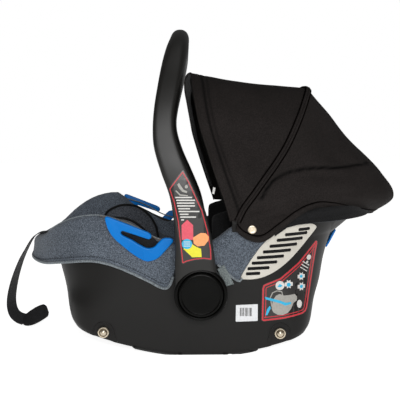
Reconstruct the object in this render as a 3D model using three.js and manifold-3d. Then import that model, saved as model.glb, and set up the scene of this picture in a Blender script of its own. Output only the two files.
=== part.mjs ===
// Infant car seat: a rocker-bottomed carrier shell with a padded fabric liner, a swinging carry
// handle, a folding canopy, belt guides and a three-point harness.
// Millimetres, +Z up, +X towards the head end, -Y is the child's left. The origin is on the floor
// under the middle of the seat.

import * as THREE from 'three';
import { mergeVertices } from 'three/addons/utils/BufferGeometryUtils.js';
import Module from 'manifold-3d';

const wasm = await Module();
wasm.setup();

// ---------- driving dimensions ----------
const SHELL_HALF = 176;        // half width of the plastic shell
const WALL = 4;                // moulded wall
const FIT = 0.3;               // gap between touching pieces
const COVER = 4.5;             // thickness of the padded fabric cover
const STRAIGHT = [-110, 40];   // the sides are straight between these stations
const FOOT_REACH = 216;        // from the straight's foot end to the toe of the rim
const HEAD_REACH = 235;        // from the straight's head end to the crown of the rim

const HUB = [-28.4, 108.2];    // X and Z of the handle's hinge line
const HUB_R = 43;
const BUTTON_R = 35;
const ARM_IN = 191.6;          // inner and outer faces of the handle's lower arms
const ARM_OUT = 213.6;
const BUTTON_OUT = 216.6;

const BOW_PIVOT = [30, 224];   // X and Z of the canopy's hinge line
const CANOPY_HALF = 190.4;
const CLOTH = 1.5;

const FLAT = [-66, 16];        // flat stretch of the rocker
const ROD_FRONT = [-189.6, 37.4];
const ROD_REAR = [104.6, 34.1];
const ROD_SEAT = 170.5;        // half width of the shell where the rods come out

// ---------- materials ----------
const finish = (color, roughness, metalness = 0) =>
  new THREE.MeshStandardMaterial({ color, roughness, metalness });
const PLASTIC = finish(0x1b1b1a, 0.55);
const HANDLE_PLASTIC = finish(0x141413, 0.35);
const BLUE = finish(0x0a7fe0, 0.35);
const VENT = finish(0xcfcec6, 0.5);
const HEATHER = finish(0x565b62, 0.95);
const CHARCOAL = finish(0x35363a, 0.95);
const CANOPY_CLOTH = finish(0x262223, 0.9);
const BLACK_CLOTH = finish(0x151516, 0.9);
const WEBBING = finish(0x111112, 0.8);
const GREY_WEBBING = finish(0x5f6667, 0.85);
const STEEL = finish(0xc9c5bd, 0.25, 1);
const RED = finish(0xb5121b, 0.4);
const FOAM_WHITE = finish(0xe8e8e4, 0.9);
const SPRING_STEEL = finish(0x9a9a98, 0.35, 1);

// ---------- geometry helpers ----------
const group = new THREE.Group();

function add(name, geometry, material) {
  const mesh = new THREE.Mesh(geometry, material);
  mesh.name = name;
  group.add(mesh);
}

function volumeOf(points, faces) {
  let six = 0;
  for (let i = 0; i < faces.length; i += 3) {
    const [a, b, c] = [0, 1, 2].map((k) => new THREE.Vector3(...points[faces[i + k]]));
    six += a.dot(b.cross(c));
  }
  return six / 6;
}

function body(points, faces) {
  if (volumeOf(points, faces) < 0) {
    for (let i = 0; i < faces.length; i += 3) [faces[i], faces[i + 1]] = [faces[i + 1], faces[i]];
  }
  const geometry = new THREE.BufferGeometry();
  geometry.setAttribute('position', new THREE.Float32BufferAttribute(points.flat(), 3));
  geometry.setIndex(faces);
  return geometry;
}

// A closed body through rings of equal count. Each end is capped across the ring, or the last
// ring joins the first where the body is itself a ring.
function loft(rings, endless = false) {
  const n = rings[0].length;
  const faces = [];
  const last = endless ? rings.length : rings.length - 1;
  for (let k = 0; k < last; k++) {
    const here = k * n;
    const next = ((k + 1) % rings.length) * n;
    for (let i = 0; i < n; i++) {
      const j = (i + 1) % n;
      faces.push(here + i, here + j, next + j, here + i, next + j, next + i);
    }
  }
  if (!endless) {
    for (const [start, flip] of [[0, true], [(rings.length - 1) * n, false]]) {
      for (let i = 0; i < n / 2; i++) {
        const a = start + i;
        const b = start + i + 1;
        const c = start + ((n - i) % n);
        const d = start + (n - i - 1);
        for (const t of [[a, b, c], [b, d, c]]) {
          if (new Set(t).size === 3) faces.push(...(flip ? [t[0], t[2], t[1]] : t));
        }
      }
    }
  }
  return body(rings.flat(), faces);
}

// A closed slab between two grids of points of the same size.
function slab(top, bottom) {
  const rows = top.length;
  const cols = top[0].length;
  const points = [...top.flat(), ...bottom.flat()];
  const at = (r, c, under) => r * cols + c + (under ? rows * cols : 0);
  const faces = [];
  const quad = (a, b, c, d) => faces.push(a, b, c, a, c, d);
  for (let r = 0; r < rows - 1; r++) {
    for (let c = 0; c < cols - 1; c++) {
      quad(at(r, c), at(r, c + 1), at(r + 1, c + 1), at(r + 1, c));
      quad(at(r, c, 1), at(r + 1, c, 1), at(r + 1, c + 1, 1), at(r, c + 1, 1));
    }
  }
  for (let c = 0; c < cols - 1; c++) {
    quad(at(0, c, 1), at(0, c + 1, 1), at(0, c + 1), at(0, c));
    quad(at(rows - 1, c), at(rows - 1, c + 1), at(rows - 1, c + 1, 1), at(rows - 1, c, 1));
  }
  for (let r = 0; r < rows - 1; r++) {
    quad(at(r, 0), at(r + 1, 0), at(r + 1, 0, 1), at(r, 0, 1));
    quad(at(r, cols - 1, 1), at(r + 1, cols - 1, 1), at(r + 1, cols - 1), at(r, cols - 1));
  }
  return body(points, faces);
}

// An outline in X and Z, extruded along Y, with optional holes.
function profile(outline, y0, y1, holes = []) {
  const toShape = (kind, points) => new kind(points.map(([x, z]) => new THREE.Vector2(x, z)));
  const shape = toShape(THREE.Shape, outline);
  shape.holes = holes.map((hole) => toShape(THREE.Path, hole));
  const geometry = new THREE.ExtrudeGeometry(shape, { depth: y1 - y0, bevelEnabled: false });
  geometry.rotateX(Math.PI / 2);
  geometry.translate(0, y1, 0);
  return geometry;
}

function box(x0, x1, y0, y1, z0, z1) {
  const geometry = new THREE.BoxGeometry(x1 - x0, y1 - y0, z1 - z0);
  geometry.translate((x0 + x1) / 2, (y0 + y1) / 2, (z0 + z1) / 2);
  return geometry;
}

function disc([x, z], y0, y1, radius, sides = 36) {
  const geometry = new THREE.CylinderGeometry(radius, radius, Math.abs(y1 - y0), sides);
  geometry.translate(x, (y0 + y1) / 2, z);
  return geometry;
}

function toSolid(geometry) {
  const bare = geometry.clone();
  bare.deleteAttribute('normal');
  bare.deleteAttribute('uv');
  const merged = mergeVertices(bare, 1e-4);
  return new wasm.Manifold(new wasm.Mesh({
    numProp: 3,
    vertProperties: new Float32Array(merged.attributes.position.array),
    triVerts: new Uint32Array(merged.index.array),
  }));
}

function toGeometry(solid) {
  const mesh = solid.getMesh();
  const geometry = new THREE.BufferGeometry();
  geometry.setAttribute('position', new THREE.BufferAttribute(mesh.vertProperties, 3));
  geometry.setIndex(new THREE.BufferAttribute(mesh.triVerts, 1));
  return geometry;
}

const joined = (...parts) => toGeometry(parts.map(toSolid).reduce((a, b) => a.add(b)));
const without = (base, ...tools) =>
  toGeometry(tools.map(toSolid).reduce((a, b) => a.subtract(b), toSolid(base)));
const common = (a, b) => toGeometry(toSolid(a).intersect(toSolid(b)));

// A smooth function through [x, value] stations.
function through(stations) {
  const slope = (i) => {
    const a = stations[Math.max(i - 1, 0)];
    const b = stations[Math.min(i + 1, stations.length - 1)];
    return (b[1] - a[1]) / (b[0] - a[0]);
  };
  return (x) => {
    if (x <= stations[0][0]) return stations[0][1];
    if (x >= stations.at(-1)[0]) return stations.at(-1)[1];
    const i = stations.findIndex((s, k) => x <= stations[k + 1][0]);
    const [[x0, v0], [x1, v1]] = [stations[i], stations[i + 1]];
    const w = x1 - x0;
    const t = (x - x0) / w;
    const h = (3 - 2 * t) * t * t;
    return v0 * (1 - h) + v1 * h + w * t * (1 - t) * ((1 - t) * slope(i) - t * slope(i + 1));
  };
}

const mix = (a, b, t) => a + (b - a) * t;
const count = (n) => [...Array(n).keys()];
const SIDES = [['left', -1], ['right', 1]];

// ---------- the seat's plan ----------
// A superellipse at each end and straight sides between, walked from the crown by the right.
const END_STEPS = 8;
const SIDE_X = [30, 16, 4, -3, -35, -66, -75, -88];

function plan(foot, head, half, power) {
  const corner = (angle, centre, reach) => [
    centre + Math.sign(Math.cos(angle)) * Math.abs(Math.cos(angle)) ** (2 / power) * reach,
    Math.sin(angle) ** (2 / power) * half,
  ];
  const quarter = (i) => (Math.PI / 2) * (i / END_STEPS);
  const right = [];
  for (let i = 0; i <= END_STEPS; i++) right.push(corner(quarter(i), STRAIGHT[1], head));
  for (const x of SIDE_X) right.push([x, half]);
  for (let i = 0; i <= END_STEPS; i++) {
    right.push(corner(Math.PI / 2 + quarter(i), STRAIGHT[0], foot));
  }
  right[0][1] = 0;
  right.at(-1)[1] = 0;
  return [...right, ...right.slice(1, -1).reverse().map(([x, y]) => [x, -y])];
}

const RIM_POWER = 2.2;
const rimPlan = (grow) =>
  plan(FOOT_REACH + grow, HEAD_REACH + grow, SHELL_HALF + grow, RIM_POWER);

const rimZ = through([
  [-322, 172], [-300, 182], [-277, 199], [-247, 214], [-218, 222], [-190, 223], [-142, 211],
  [-102, 190], [-66, 181], [-10, 184], [22, 206], [60, 220], [120, 230], [200, 236], [276, 240],
]);
const seatLine = through([
  [-322, 162], [-290, 166], [-230, 150], [-170, 118], [-110, 88], [-60, 72], [0, 80],
  [80, 118], [160, 162], [240, 204], [276, 220],
]);
const rocker = (x) => 0.0407 * Math.max(FLAT[0] - x, x - FLAT[1], 0) ** 1.336;

// One ring of the seat's bowl: shrink 1 is the rim, and towards 0 it closes on the seat line.
function bowlRing(shrink, lift, inset = 0) {
  return rimPlan(-inset).map(([x, y]) => {
    const spine = THREE.MathUtils.clamp(x, -215, 190);
    const px = spine + (x - spine) * shrink;
    const low = seatLine(px);
    return [px, y * shrink, low + (rimZ(x) - low) * shrink ** 4 + lift];
  });
}

// ---------- outer shell ----------
// Levels of the shell's outside, from the rocker's flat to the rim.
const WALL_Z = 150;
const level = (foot, head, half, power, z) => ({ foot, head, half, power, z });
const SHELL_LEVELS = [
  level(30, 40, 170, 5, (x) => rocker(x)),
  level(90, 74, 171.5, 5, (x) => rocker(x)),
  level(130, 113, 173, 5.4, (x) => rocker(x)),
  level(139, 121, 174.3, 5.6, (x) => rocker(x) + 5),
  level(145, 127, 174.8, 5.4, (x) => rocker(x) + 16),
  level(150, 133, SHELL_HALF, 4.8, (x) => mix(82, rocker(x) + 40, 0.5)),
  level(160, 148, SHELL_HALF, 3.3, () => 110),
  level(174, 159, SHELL_HALF, 2.7, () => WALL_Z),
  level(180, 173, SHELL_HALF, 2.4, (x) => mix(WALL_Z, rimZ(x) - 7, 0.48)),
  level(182, 183, SHELL_HALF, 2.3, (x) => mix(WALL_Z, rimZ(x) - 7, 0.62)),
  level(184, 203, SHELL_HALF, 2.2, (x) => mix(WALL_Z, rimZ(x) - 7, 0.86)),
  level(186, 220, SHELL_HALF, 2.2, (x) => rimZ(x) - 7),
];
const INNER_LEVELS = [1, 2, 4, 6, 7, 9, 11];   // levels that the inside follows
const shellRing = (l, inset) =>
  plan(l.foot - inset, l.head - inset, l.half - inset, l.power).map(([x, y]) => [x, y, l.z(x)]);

// Half width of the shell's outside at a station on its wall.
function shellHalfAt(x, z) {
  const share = (z - WALL_Z) / (rimZ(x) - 7 - WALL_Z);
  const head = through([[-0.6, 148], [0, 159], [0.48, 173], [0.62, 183], [0.86, 203], [1, 220]]);
  const power = through([[0, 2.7], [0.48, 2.4], [0.62, 2.3], [0.86, 2.2], [1, 2.2]])(share);
  const along = Math.max(x - STRAIGHT[1], 0) / head(share);
  return SHELL_HALF * Math.max(1 - along ** power, 0) ** (1 / power);
}

function outerShell() {
  const outside = SHELL_LEVELS.map((l) => shellRing(l, 0));
  const inside = INNER_LEVELS.map((k) => shellRing(SHELL_LEVELS[k], WALL));
  const floor = inside.slice(0, 2).map((ring) => ring.map(([x, y, z]) => [x, y, z + WALL]));
  const hollow = [...floor, ...inside.slice(2)];
  const shell = loft([...outside, ...hollow.reverse()]);
  const bore = (at, radius) => disc(at, -SHELL_HALF - 5, SHELL_HALF + 5, radius, 16);
  return without(shell, bucketEnvelope(), bore(ROD_FRONT, 4.4), bore(ROD_REAR, 4.4),
    bore(HUB, 8.4));
}

// Leaf outline of the side vents, X and Z.
const VENT_OUTLINE = [
  [37, 127.5], [41, 137], [52.6, 156.3], [62, 170], [72.2, 183], [88, 198.5], [102, 209.5],
  [114, 214.8], [126, 217], [145, 217], [159, 215.5], [166.5, 211.5], [166.5, 206.5],
  [154, 192], [137, 174], [118.4, 156.5], [98, 141.5], [77.5, 131.5], [57, 127],
];

// ---------- seat bucket, foam and fabric ----------
const SHRINKS = [0.97, 0.93, 0.86, 0.74, 0.56, 0.34, 0.14];
const BUCKET_IN = 9;           // from the rim's edge to the bowl's inner face
const bucketOutside = (gap) => SHRINKS.map((s) =>
  bowlRing(s, -WALL - (s > 0.9 ? 1.5 : 0) - gap, BUCKET_IN - WALL * 0.6 - gap));
const rimRing = (grow, lift) => rimPlan(grow).map(([x, y]) => [x, y, rimZ(x) + lift]);

function seatBucket() {
  const inside = SHRINKS.map((s) => bowlRing(s, 0, BUCKET_IN));
  return loft([
    ...bucketOutside(0).reverse(), rimRing(-0.5, -6.2), rimRing(-0.5, -2),
    rimRing(-BUCKET_IN, 0), ...inside,
  ]);
}

// The room the bucket takes in the shell, open upwards.
function bucketEnvelope() {
  return loft([...bucketOutside(2 * FIT).reverse(), rimRing(1, -6.2 - FIT), rimRing(1, 60)]);
}

// Extra lift of the fabric where the foam lies under it; it fades towards the rim.
const FOAM = { from: 100, thick: 11 };
const fade = (s) => 1 - s ** 6;
const foamLift = (x, s) =>
  THREE.MathUtils.clamp((x - 44) / 28, 0, 1) * (FOAM.thick + 1.2) * fade(s);
const padRing = (s, lift, inset) =>
  bowlRing(s, 0, inset).map(([x, y, z]) => [x, y, z + lift + foamLift(x, s)]);

// Energy-absorbing foam round the head end, between the bucket and the fabric.
function headFoam() {
  const under = SHRINKS.slice(1).map((s) => bowlRing(s, 1.4, BUCKET_IN + 0.9));
  const over = SHRINKS.slice(1).map((s) =>
    bowlRing(s, 1.6 + (FOAM.thick - 1) * fade(s), BUCKET_IN + 1));
  return common(loft([...under.reverse(), ...over]), box(FOAM.from, 400, -200, 200, 0, 400));
}
add('foam_liner', headFoam(), FOAM_WHITE);
add('outer_shell', outerShell(), PLASTIC);
add('seat_bucket', seatBucket(), PLASTIC);

const hemZ = through([
  [-331, 149], [-296, 146], [-263, 152], [-208, 158], [-175, 152], [-142, 138], [-110, 123],
  [-86, 113], [-76, 119], [-68, 152], [-4, 153], [3, 149], [34, 124], [42, 135], [60, 178],
  [84, 203], [100, 215], [130, 219], [200, 222], [281, 226],
]);
const HEM_POWER = 2.6;

function seatCover() {
  const hem = (grow) => plan(FOOT_REACH + grow, HEAD_REACH + grow, SHELL_HALF + grow, HEM_POWER)
    .map(([x, y]) => [x, y, hemZ(x)]);
  const skin = SHRINKS.map((s) => padRing(s, COVER + 1.4, BUCKET_IN + 5));
  const back = SHRINKS.map((s) => padRing(s, 2, BUCKET_IN + 1.2));
  return loft([
    ...skin.reverse(), rimRing(-BUCKET_IN, 5.5), rimRing(-3, 6.5), rimRing(2.5, 5),
    rimRing(5, -4), hem(5), hem(0.6), rimRing(0.6, -3), rimRing(-0.4, 0.8),
    rimRing(-BUCKET_IN, 0.8), ...back,
  ], true);
}
// The cover is cut back round each vent.
const nearVents = SIDES.map(([, s]) => {
  const [cx, cz] = [102, 173];
  const grown = VENT_OUTLINE.map(([x, z]) => [cx + (x - cx) * 1.03, cz + (z - cz) * 1.04]);
  return profile(grown, ...[s * 120, s * 200].sort((a, b) => a - b));
});
add('seat_cover', without(seatCover(), ...nearVents), HEATHER);

// Removable infant insert: a cushion with a raised bolster round it.
const INSERT_LOW = COVER + 2.2;
const INSERT_SHRINKS = [0.86, 0.74, 0.56, 0.34, 0.14];
const insertThick = (s) => 14 + 16 * Math.sin(Math.PI * Math.min(s / 0.88, 1)) ** 2;
function infantInsert() {
  const under = INSERT_SHRINKS.map((s) => padRing(s, INSERT_LOW, BUCKET_IN + 5.5));
  const over = INSERT_SHRINKS.map((s) =>
    padRing(s, INSERT_LOW + insertThick(s), BUCKET_IN + 5.5 + insertThick(s) * s));
  return common(loft([...under.reverse(), ...over]), box(-225, 400, -200, 200, 0, 400));
}
add('infant_insert', infantInsert(), CHARCOAL);

// Head hugger: a thick U on the back rest, open towards the feet, with a wing on each side.
function headHugger() {
  const arc = count(15).map((i) => mix(-1, 1, i / 14));
  const ring = (reach, half, top, bottom) => arc.map((t) => {
    const angle = (Math.PI / 2) * t;
    const x = 38 + Math.cos(angle) * reach;
    const rest = seatLine(x) + FOAM.thick + COVER + 36;
    return [x - 46 * Math.abs(Math.sin(angle)) ** 6, Math.sin(angle) * half,
      rest + mix(bottom, top, Math.abs(t) ** 0.6) + 12];
  });
  const outer = [ring(150, 112, 66, 34), ring(148, 110, 0, 0)];
  const inner = [ring(112, 84, 62, 28), ring(118, 88, 0, 0)];
  return slab(outer, inner);
}
add('head_hugger', headHugger(), BLACK_CLOTH);

// ---------- carry handle ----------
const ARM_FOOT_EDGE = through([
  [60, -70], [174, -70], [205, -70.5], [237, -73], [269, -79], [305, -92], [343, -103],
  [372, -105], [404, -103], [444, -97], [478, -91], [504, -85], [523, -79], [545, -76],
]);
const ARM_HEAD_EDGE = through([
  [60, 8], [117, 2], [153, -4.5], [181, -8], [205, -12], [236, -19], [258, -27], [294, -42.5],
  [329, -58], [364, -69], [388, -71], [412, -68], [436, -63], [461, -57], [504, -48], [530, -46],
]);
const GRIP_Z = 530;
const HANDLE_SPAN = [
  [202.6, 108], [202.6, 160], [202.6, 215], [202.6, 262], [200.6, 305], [195.5, 345], [188, 385],
  [177, 420], [161, 455], [140, 484], [112, 508], [78, 523], [40, GRIP_Z], [0, GRIP_Z + 1],
];
const ROUND = [
  [1, 0], [0.94, 0.62], [0.7, 1], [0, 1], [-0.7, 1], [-0.94, 0.62],
  [-1, 0], [-0.94, -0.62], [-0.7, -1], [0, -1], [0.7, -1], [0.94, -0.62],
];

function handleFrame() {
  const near = HANDLE_SPAN.map(([y, z]) => [-y, z]);
  const path = [...near, ...HANDLE_SPAN.slice(0, -1).reverse()];
  const rings = path.map(([y, z], k) => {
    const a = path[Math.max(k - 1, 0)];
    const b = path[Math.min(k + 1, path.length - 1)];
    const length = Math.hypot(b[0] - a[0], b[1] - a[1]);
    const normal = [-(b[1] - a[1]) / length, (b[0] - a[0]) / length];
    const thick = mix(11, 19, THREE.MathUtils.smoothstep(z, 330, GRIP_Z));
    const middle = (ARM_FOOT_EDGE(z) + ARM_HEAD_EDGE(z)) / 2;
    const half = (ARM_HEAD_EDGE(z) - ARM_FOOT_EDGE(z)) / 2;
    return ROUND.map(([u, v]) => [
      middle + half * u, y + normal[0] * thick * v, z + normal[1] * thick * v,
    ]);
  });
  const hubs = SIDES.map(([, s]) => disc(HUB, s * ARM_IN, s * ARM_OUT, HUB_R, 36));
  const pockets = SIDES.flatMap(([, s]) => [
    disc(HUB, s * (ARM_IN + 5), s * (ARM_OUT + 6), BUTTON_R + 0.8, 32),
    disc(HUB, s * (ARM_IN - 9), s * ARM_OUT, 8.4, 16),
  ]);
  return without(joined(loft(rings), ...hubs), ...pockets);
}
add('handle_frame', handleFrame(), HANDLE_PLASTIC);

// Soft grip pad along the underside of the crossbar.
function gripPad() {
  const stations = count(9).map((i) => mix(-52, 52, i / 8));
  const surface = (drop) => stations.map((y) => [-71, -66, -61, -56, -51].map((x) =>
    [x, y, 509.9 - drop - 0.0006 * y ** 2]));
  return slab(surface(0), surface(5));
}
add('handle_grip', gripPad(), BLACK_CLOTH);

for (const [side, s] of SIDES) {
  add(`hub_base_${side}`, without(
    disc(HUB, s * (SHELL_HALF + FIT), s * (ARM_IN - FIT), 39, 28),
    disc(HUB, s * (SHELL_HALF - 5), s * ARM_IN, 8.4, 16),
  ), PLASTIC);
  add(`handle_axle_${side}`, joined(
    disc(HUB, s * (SHELL_HALF - WALL - 6), s * (ARM_IN + 4.5), 8, 16),
    disc(HUB, s * (SHELL_HALF - WALL - 6), s * (SHELL_HALF - WALL - 1), 13, 16),
  ), STEEL);
  // The lock plate's teeth sit round the axle's end and ride with the release button.
  const teeth = count(32).map((i) => {
    const r = i % 4 < 2 ? 30 : 26;
    const angle = (i / 32) * 2 * Math.PI;
    return [HUB[0] + r * Math.cos(angle), HUB[1] + r * Math.sin(angle)];
  });
  const plateY = [s * (ARM_IN + 11), s * (ARM_IN + 14)].sort((a, b) => a - b);
  add(`lock_plate_${side}`, profile(teeth, ...plateY), STEEL);
  add(`hub_button_${side}`, joined(
    disc(HUB, s * (ARM_IN + 14 + FIT), s * (BUTTON_OUT - 2.5), BUTTON_R, 32),
    disc(HUB, s * (BUTTON_OUT - 3), s * BUTTON_OUT, BUTTON_R - 3.5, 32),
  ), HANDLE_PLASTIC);
  add(`button_spring_${side}`, without(
    disc(HUB, s * (ARM_IN + 5 + FIT), s * (ARM_IN + 11 - FIT), 20, 16),
    disc(HUB, s * ARM_IN, s * ARM_OUT, 16, 16),
  ), SPRING_STEEL);
}

// ---------- belt guides, vents, rear guide ----------
const GUIDE_OUTLINE = [
  [-183, 232], [-170, 229.5], [-112, 206], [-108, 202], [-109, 196.5], [-112, 195], [-157, 210],
  [-158, 206], [-155, 202], [-139, 194], [-122, 183.5], [-112, 180.5], [-103, 183.5],
  [-94, 193], [-86, 197.5], [-74, 196.5], [-72.5, 191], [-94, 167], [-108, 159.5], [-121, 159],
  [-142, 173], [-166, 193.5], [-179, 212],
];
// Nine slots that lean with the leaf shape: middle X, middle Z and half length of each.
const VENT_SLOTS = [
  [145, 207.4, 9.5], [131, 200.3, 19], [120, 191.7, 22], [109, 182.2, 23], [98, 173, 23],
  [87, 163.6, 22], [77, 154.5, 20.5], [67, 145.4, 17.5], [58, 136.6, 11],
];
const SLOT_LEAN = 0.04;   // rise towards the head end
const SLOT_HALF = 2;

function skinOfShell(xs, zs, low, high, s) {
  const grid = (lift) => xs.map((x) => zs.map((z) => [x, s * (shellHalfAt(x, z) + lift), z]));
  return slab(grid(high), grid(low));
}

function rearGuide() {
  const spine = [[206.2, 157], [211.8, 166.5], [217.8, 178], [223.5, 189]];
  const inner = spine.map(([x, z]) => [x - 2.6, z + 2.2]);
  return profile([...spine, ...inner.reverse()], -32, 32);
}
add('rear_belt_guide', rearGuide(), BLUE);

for (const [side, s] of SIDES) {
  const plateY = [s * (SHELL_HALF + 5.3), s * (SHELL_HALF + 13)].sort((a, b) => a - b);
  add(`belt_guide_${side}`, profile(GUIDE_OUTLINE, ...plateY), BLUE);

  const slots = VENT_SLOTS.map(([x, z, half]) => {
    const end = (sign) => [x + sign * half, z + sign * half * SLOT_LEAN];
    const [[ax, az], [bx, bz]] = [end(-1), end(1)];
    return [[ax, az - SLOT_HALF], [bx, bz - SLOT_HALF], [bx, bz + SLOT_HALF], [ax, az + SLOT_HALF]];
  });
  const leafY = [s * 120, s * 200].sort((a, b) => a - b);
  const leaf = profile(VENT_OUTLINE, ...leafY, slots);
  const xs = count(9).map((i) => mix(30, 172, i / 8));
  const zs = count(4).map((i) => mix(124, 222, i / 3));
  add(`vent_grille_${side}`, common(leaf, skinOfShell(xs, zs, 1.2, 4, s)), VENT);

  const tab = [[-1, 144.5], [10, 152], [26.5, 120], [13.5, 116]];
  const tabY = [s * (SHELL_HALF + 5.3), s * (SHELL_HALF + 7.8)].sort((a, b) => a - b);
  add(`elastic_tab_${side}`, profile(tab, ...tabY), GREY_WEBBING);
}

// ---------- cross rods, caps and washers ----------
add('front_cross_rod', disc(ROD_FRONT, -ROD_SEAT - 1.5, ROD_SEAT + 1.5, 4, 16), STEEL);
add('rear_cross_rod', disc(ROD_REAR, -ROD_SEAT - 1.5, ROD_SEAT + 1.5, 4, 16), STEEL);

function capDome([x, z], s) {
  const outline = [[0, 0], [7.6, 0], [7.6, 1.2], [6.4, 3.6], [3.8, 5.4], [0, 6]];
  const geometry = new THREE.LatheGeometry(outline.map(([r, h]) => new THREE.Vector2(r, h)), 12);
  if (s < 0) geometry.rotateX(Math.PI);
  geometry.translate(x, s * (ROD_SEAT + 4.2), z);
  return geometry;
}
for (const [end, at] of [['front', ROD_FRONT], ['rear', ROD_REAR]]) {
  for (const [side, s] of SIDES) {
    add(`rod_cap_${end}_${side}`, capDome(at, s), STEEL);
    add(`cup_washer_${end}_${side}`, without(
      disc(at, s * (ROD_SEAT + 4), s * (ROD_SEAT + 7), 10, 16),
      disc(at, s * (ROD_SEAT - 2), s * (ROD_SEAT + 9), 8.2, 16),
    ), PLASTIC);
  }
}

// ---------- canopy ----------
// Half outlines from the left pivot corner (or hem corner) up to the middle: X, Z and half width.
const FRONT_EDGE = [
  [24, 224, 1], [21, 249, 1], [12, 275, 1], [0, 307, 0.975], [-11, 339, 0.91],
  [-21, 372, 0.855], [-31, 405, 0.775], [-38, 439, 0.635], [-42, 462, 0.46], [-42, 472, 0.24],
  [-42, 474, 0],
];
const MID_EDGE = [
  [31, 224, 1], [42, 246, 1], [58, 268, 1], [76, 293, 0.98], [95, 318, 0.93],
  [114, 347, 0.875], [132, 382, 0.795], [146, 410, 0.655], [159, 436, 0.47], [166, 446, 0.24],
  [168, 449, 0],
];
const HEM_EDGE = [
  [36, 216, 1], [54, 196, 1], [84, 198, 1], [110, 217, 0.985], [135, 234, 0.94],
  [160, 244, 0.875], [186, 244, 0.81], [212, 236, 0.72], [240, 227, 0.57], [270, 222, 0.3],
  [284, 221, 0],
];
const overTop = (edge) => {
  const near = edge.map(([x, z, w]) => [x, -w * CANOPY_HALF, z]);
  return [...near, ...near.slice(0, -1).reverse().map(([x, y, z]) => [x, -y, z])];
};

// Rows of points from one edge to the next, with the cloth standing proud by bulge between them.
function clothRows(from, to, steps, bulge, margin) {
  const [a, b] = [overTop(from), overTop(to)];
  return count(steps + 1).map((k) => {
    const t = mix(margin, 1 - margin, k / steps);
    return a.map((p, i) => {
      const push = bulge(t, Math.abs(i / (a.length - 1) - 0.5) * 2);
      const away = new THREE.Vector3(
        mix(p[0], b[i][0], t) - 60, mix(p[1], b[i][1], t), mix(p[2], b[i][2], t) - 224,
      ).normalize();
      return [0, 1, 2].map((c) => mix(p[c], b[i][c], t) + away.getComponent(c) * push);
    });
  });
}
const inward = (rows, depth) => rows.map((row) => row.map(([x, y, z]) => {
  const away = new THREE.Vector3(x - 60, y, z - 224).normalize();
  return [x - away.x * depth, y - away.y * depth, z - away.z * depth];
}));

function clothPanel(from, to, steps, bulge, margin) {
  const outside = clothRows(from, to, steps, bulge, margin);
  return slab(outside, inward(outside, CLOTH));
}
// How far the rear panel stands proud of a straight line from bow to hem, at the middle.
const backBulge = through([[0, 0], [0.25, 12], [0.5, 30], [0.75, 60], [0.9, 70.5], [1, 12]]);
add('canopy_front_panel', clothPanel(FRONT_EDGE, MID_EDGE, 4,
  (t, side) => -5 * Math.sin(Math.PI * t) * (1 - side ** 2) ** 2, 0.03), CANOPY_CLOTH);
add('canopy_rear_panel', clothPanel(MID_EDGE, HEM_EDGE, 6,
  (t, side) => (1 - side ** 2) ** 5 * backBulge(t), 0.03), CANOPY_CLOTH);

// A flat bow just inside the cloth, ending in an eye round the canopy's hinge pin.
function bow(edge) {
  const top = overTop(edge).slice(2, -2);
  return top.map(([x, y, z], k) => {
    const a = new THREE.Vector3(...top[Math.max(k - 1, 0)]);
    const along = new THREE.Vector3(...top[Math.min(k + 1, top.length - 1)]).sub(a).normalize();
    const away = new THREE.Vector3(x - BOW_PIVOT[0], y, z - BOW_PIVOT[1]);
    away.addScaledVector(along, -away.dot(along)).normalize();
    const across = new THREE.Vector3().crossVectors(along, away);
    const at = new THREE.Vector3(x, Math.sign(y) * Math.min(Math.abs(y), CANOPY_HALF), z);
    return [[-1, 6.2], [1, 6.2], [1, 8.6], [-1, 8.6]].map(([w, depth]) => at.clone()
      .addScaledVector(across, 5 * w).addScaledVector(away, -depth).toArray());
  });
}

function bowFrame(edge, eyeOut) {
  const rings = bow(edge);
  const parts = [loft(rings)];
  for (const [, s] of SIDES) {
    const end = s < 0 ? rings[0] : rings.at(-1);
    const foot = end.map((p) => [p[0], s * eyeOut, p[2]]);
    const [fx, fz] = [
      foot.reduce((sum, p) => sum + p[0], 0) / 4, foot.reduce((sum, p) => sum + p[2], 0) / 4,
    ];
    const length = Math.hypot(fx - BOW_PIVOT[0], fz - BOW_PIVOT[1]);
    const side = [-(fz - BOW_PIVOT[1]) / length * 5, (fx - BOW_PIVOT[0]) / length * 5];
    const outline = [
      [BOW_PIVOT[0] + side[0], BOW_PIVOT[1] + side[1]],
      [fx + side[0], fz + side[1]], [fx - side[0], fz - side[1]],
      [BOW_PIVOT[0] - side[0], BOW_PIVOT[1] - side[1]],
    ];
    const ys = [s * (eyeOut - 1.5), s * eyeOut].sort((a, b) => a - b);
    const link = [s * (eyeOut - 0.1), s * (CANOPY_HALF - 8)].sort((a, b) => a - b);
    parts.push(profile(outline, ...ys), disc(BOW_PIVOT, ...ys, 7.5, 20));
    parts.push(box(fx - 4.5, fx + 4.5, ...link, fz - 4.5, fz + 4.5));
  }
  const holes = SIDES.map(([, s]) => disc(BOW_PIVOT, s * 170, s * 200, 3.3, 16));
  return without(joined(...parts), ...holes);
}
add('canopy_front_bow', bowFrame(FRONT_EDGE, SHELL_HALF + 12), PLASTIC);
add('canopy_mid_bow', bowFrame(MID_EDGE, SHELL_HALF + 10.3), PLASTIC);

for (const [side, s] of SIDES) {
  const [px, pz] = BOW_PIVOT;
  const plateY = [s * (SHELL_HALF + 5.3), s * (SHELL_HALF + 8.7)].sort((a, b) => a - b);
  add(`canopy_bracket_${side}`, joined(
    profile([[px - 7, pz - 18], [px + 9, pz - 18], [px + 9, pz], [px, pz + 9], [px - 7, pz]],
      ...plateY),
    disc(BOW_PIVOT, s * (SHELL_HALF + 8), s * (SHELL_HALF + 12.6), 3, 16),
  ), PLASTIC);
  add(`snap_button_${side}`, disc([56, 209], s * (CANOPY_HALF + FIT), s * (CANOPY_HALF + 0.9), 7),
    STEEL);
}

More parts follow.
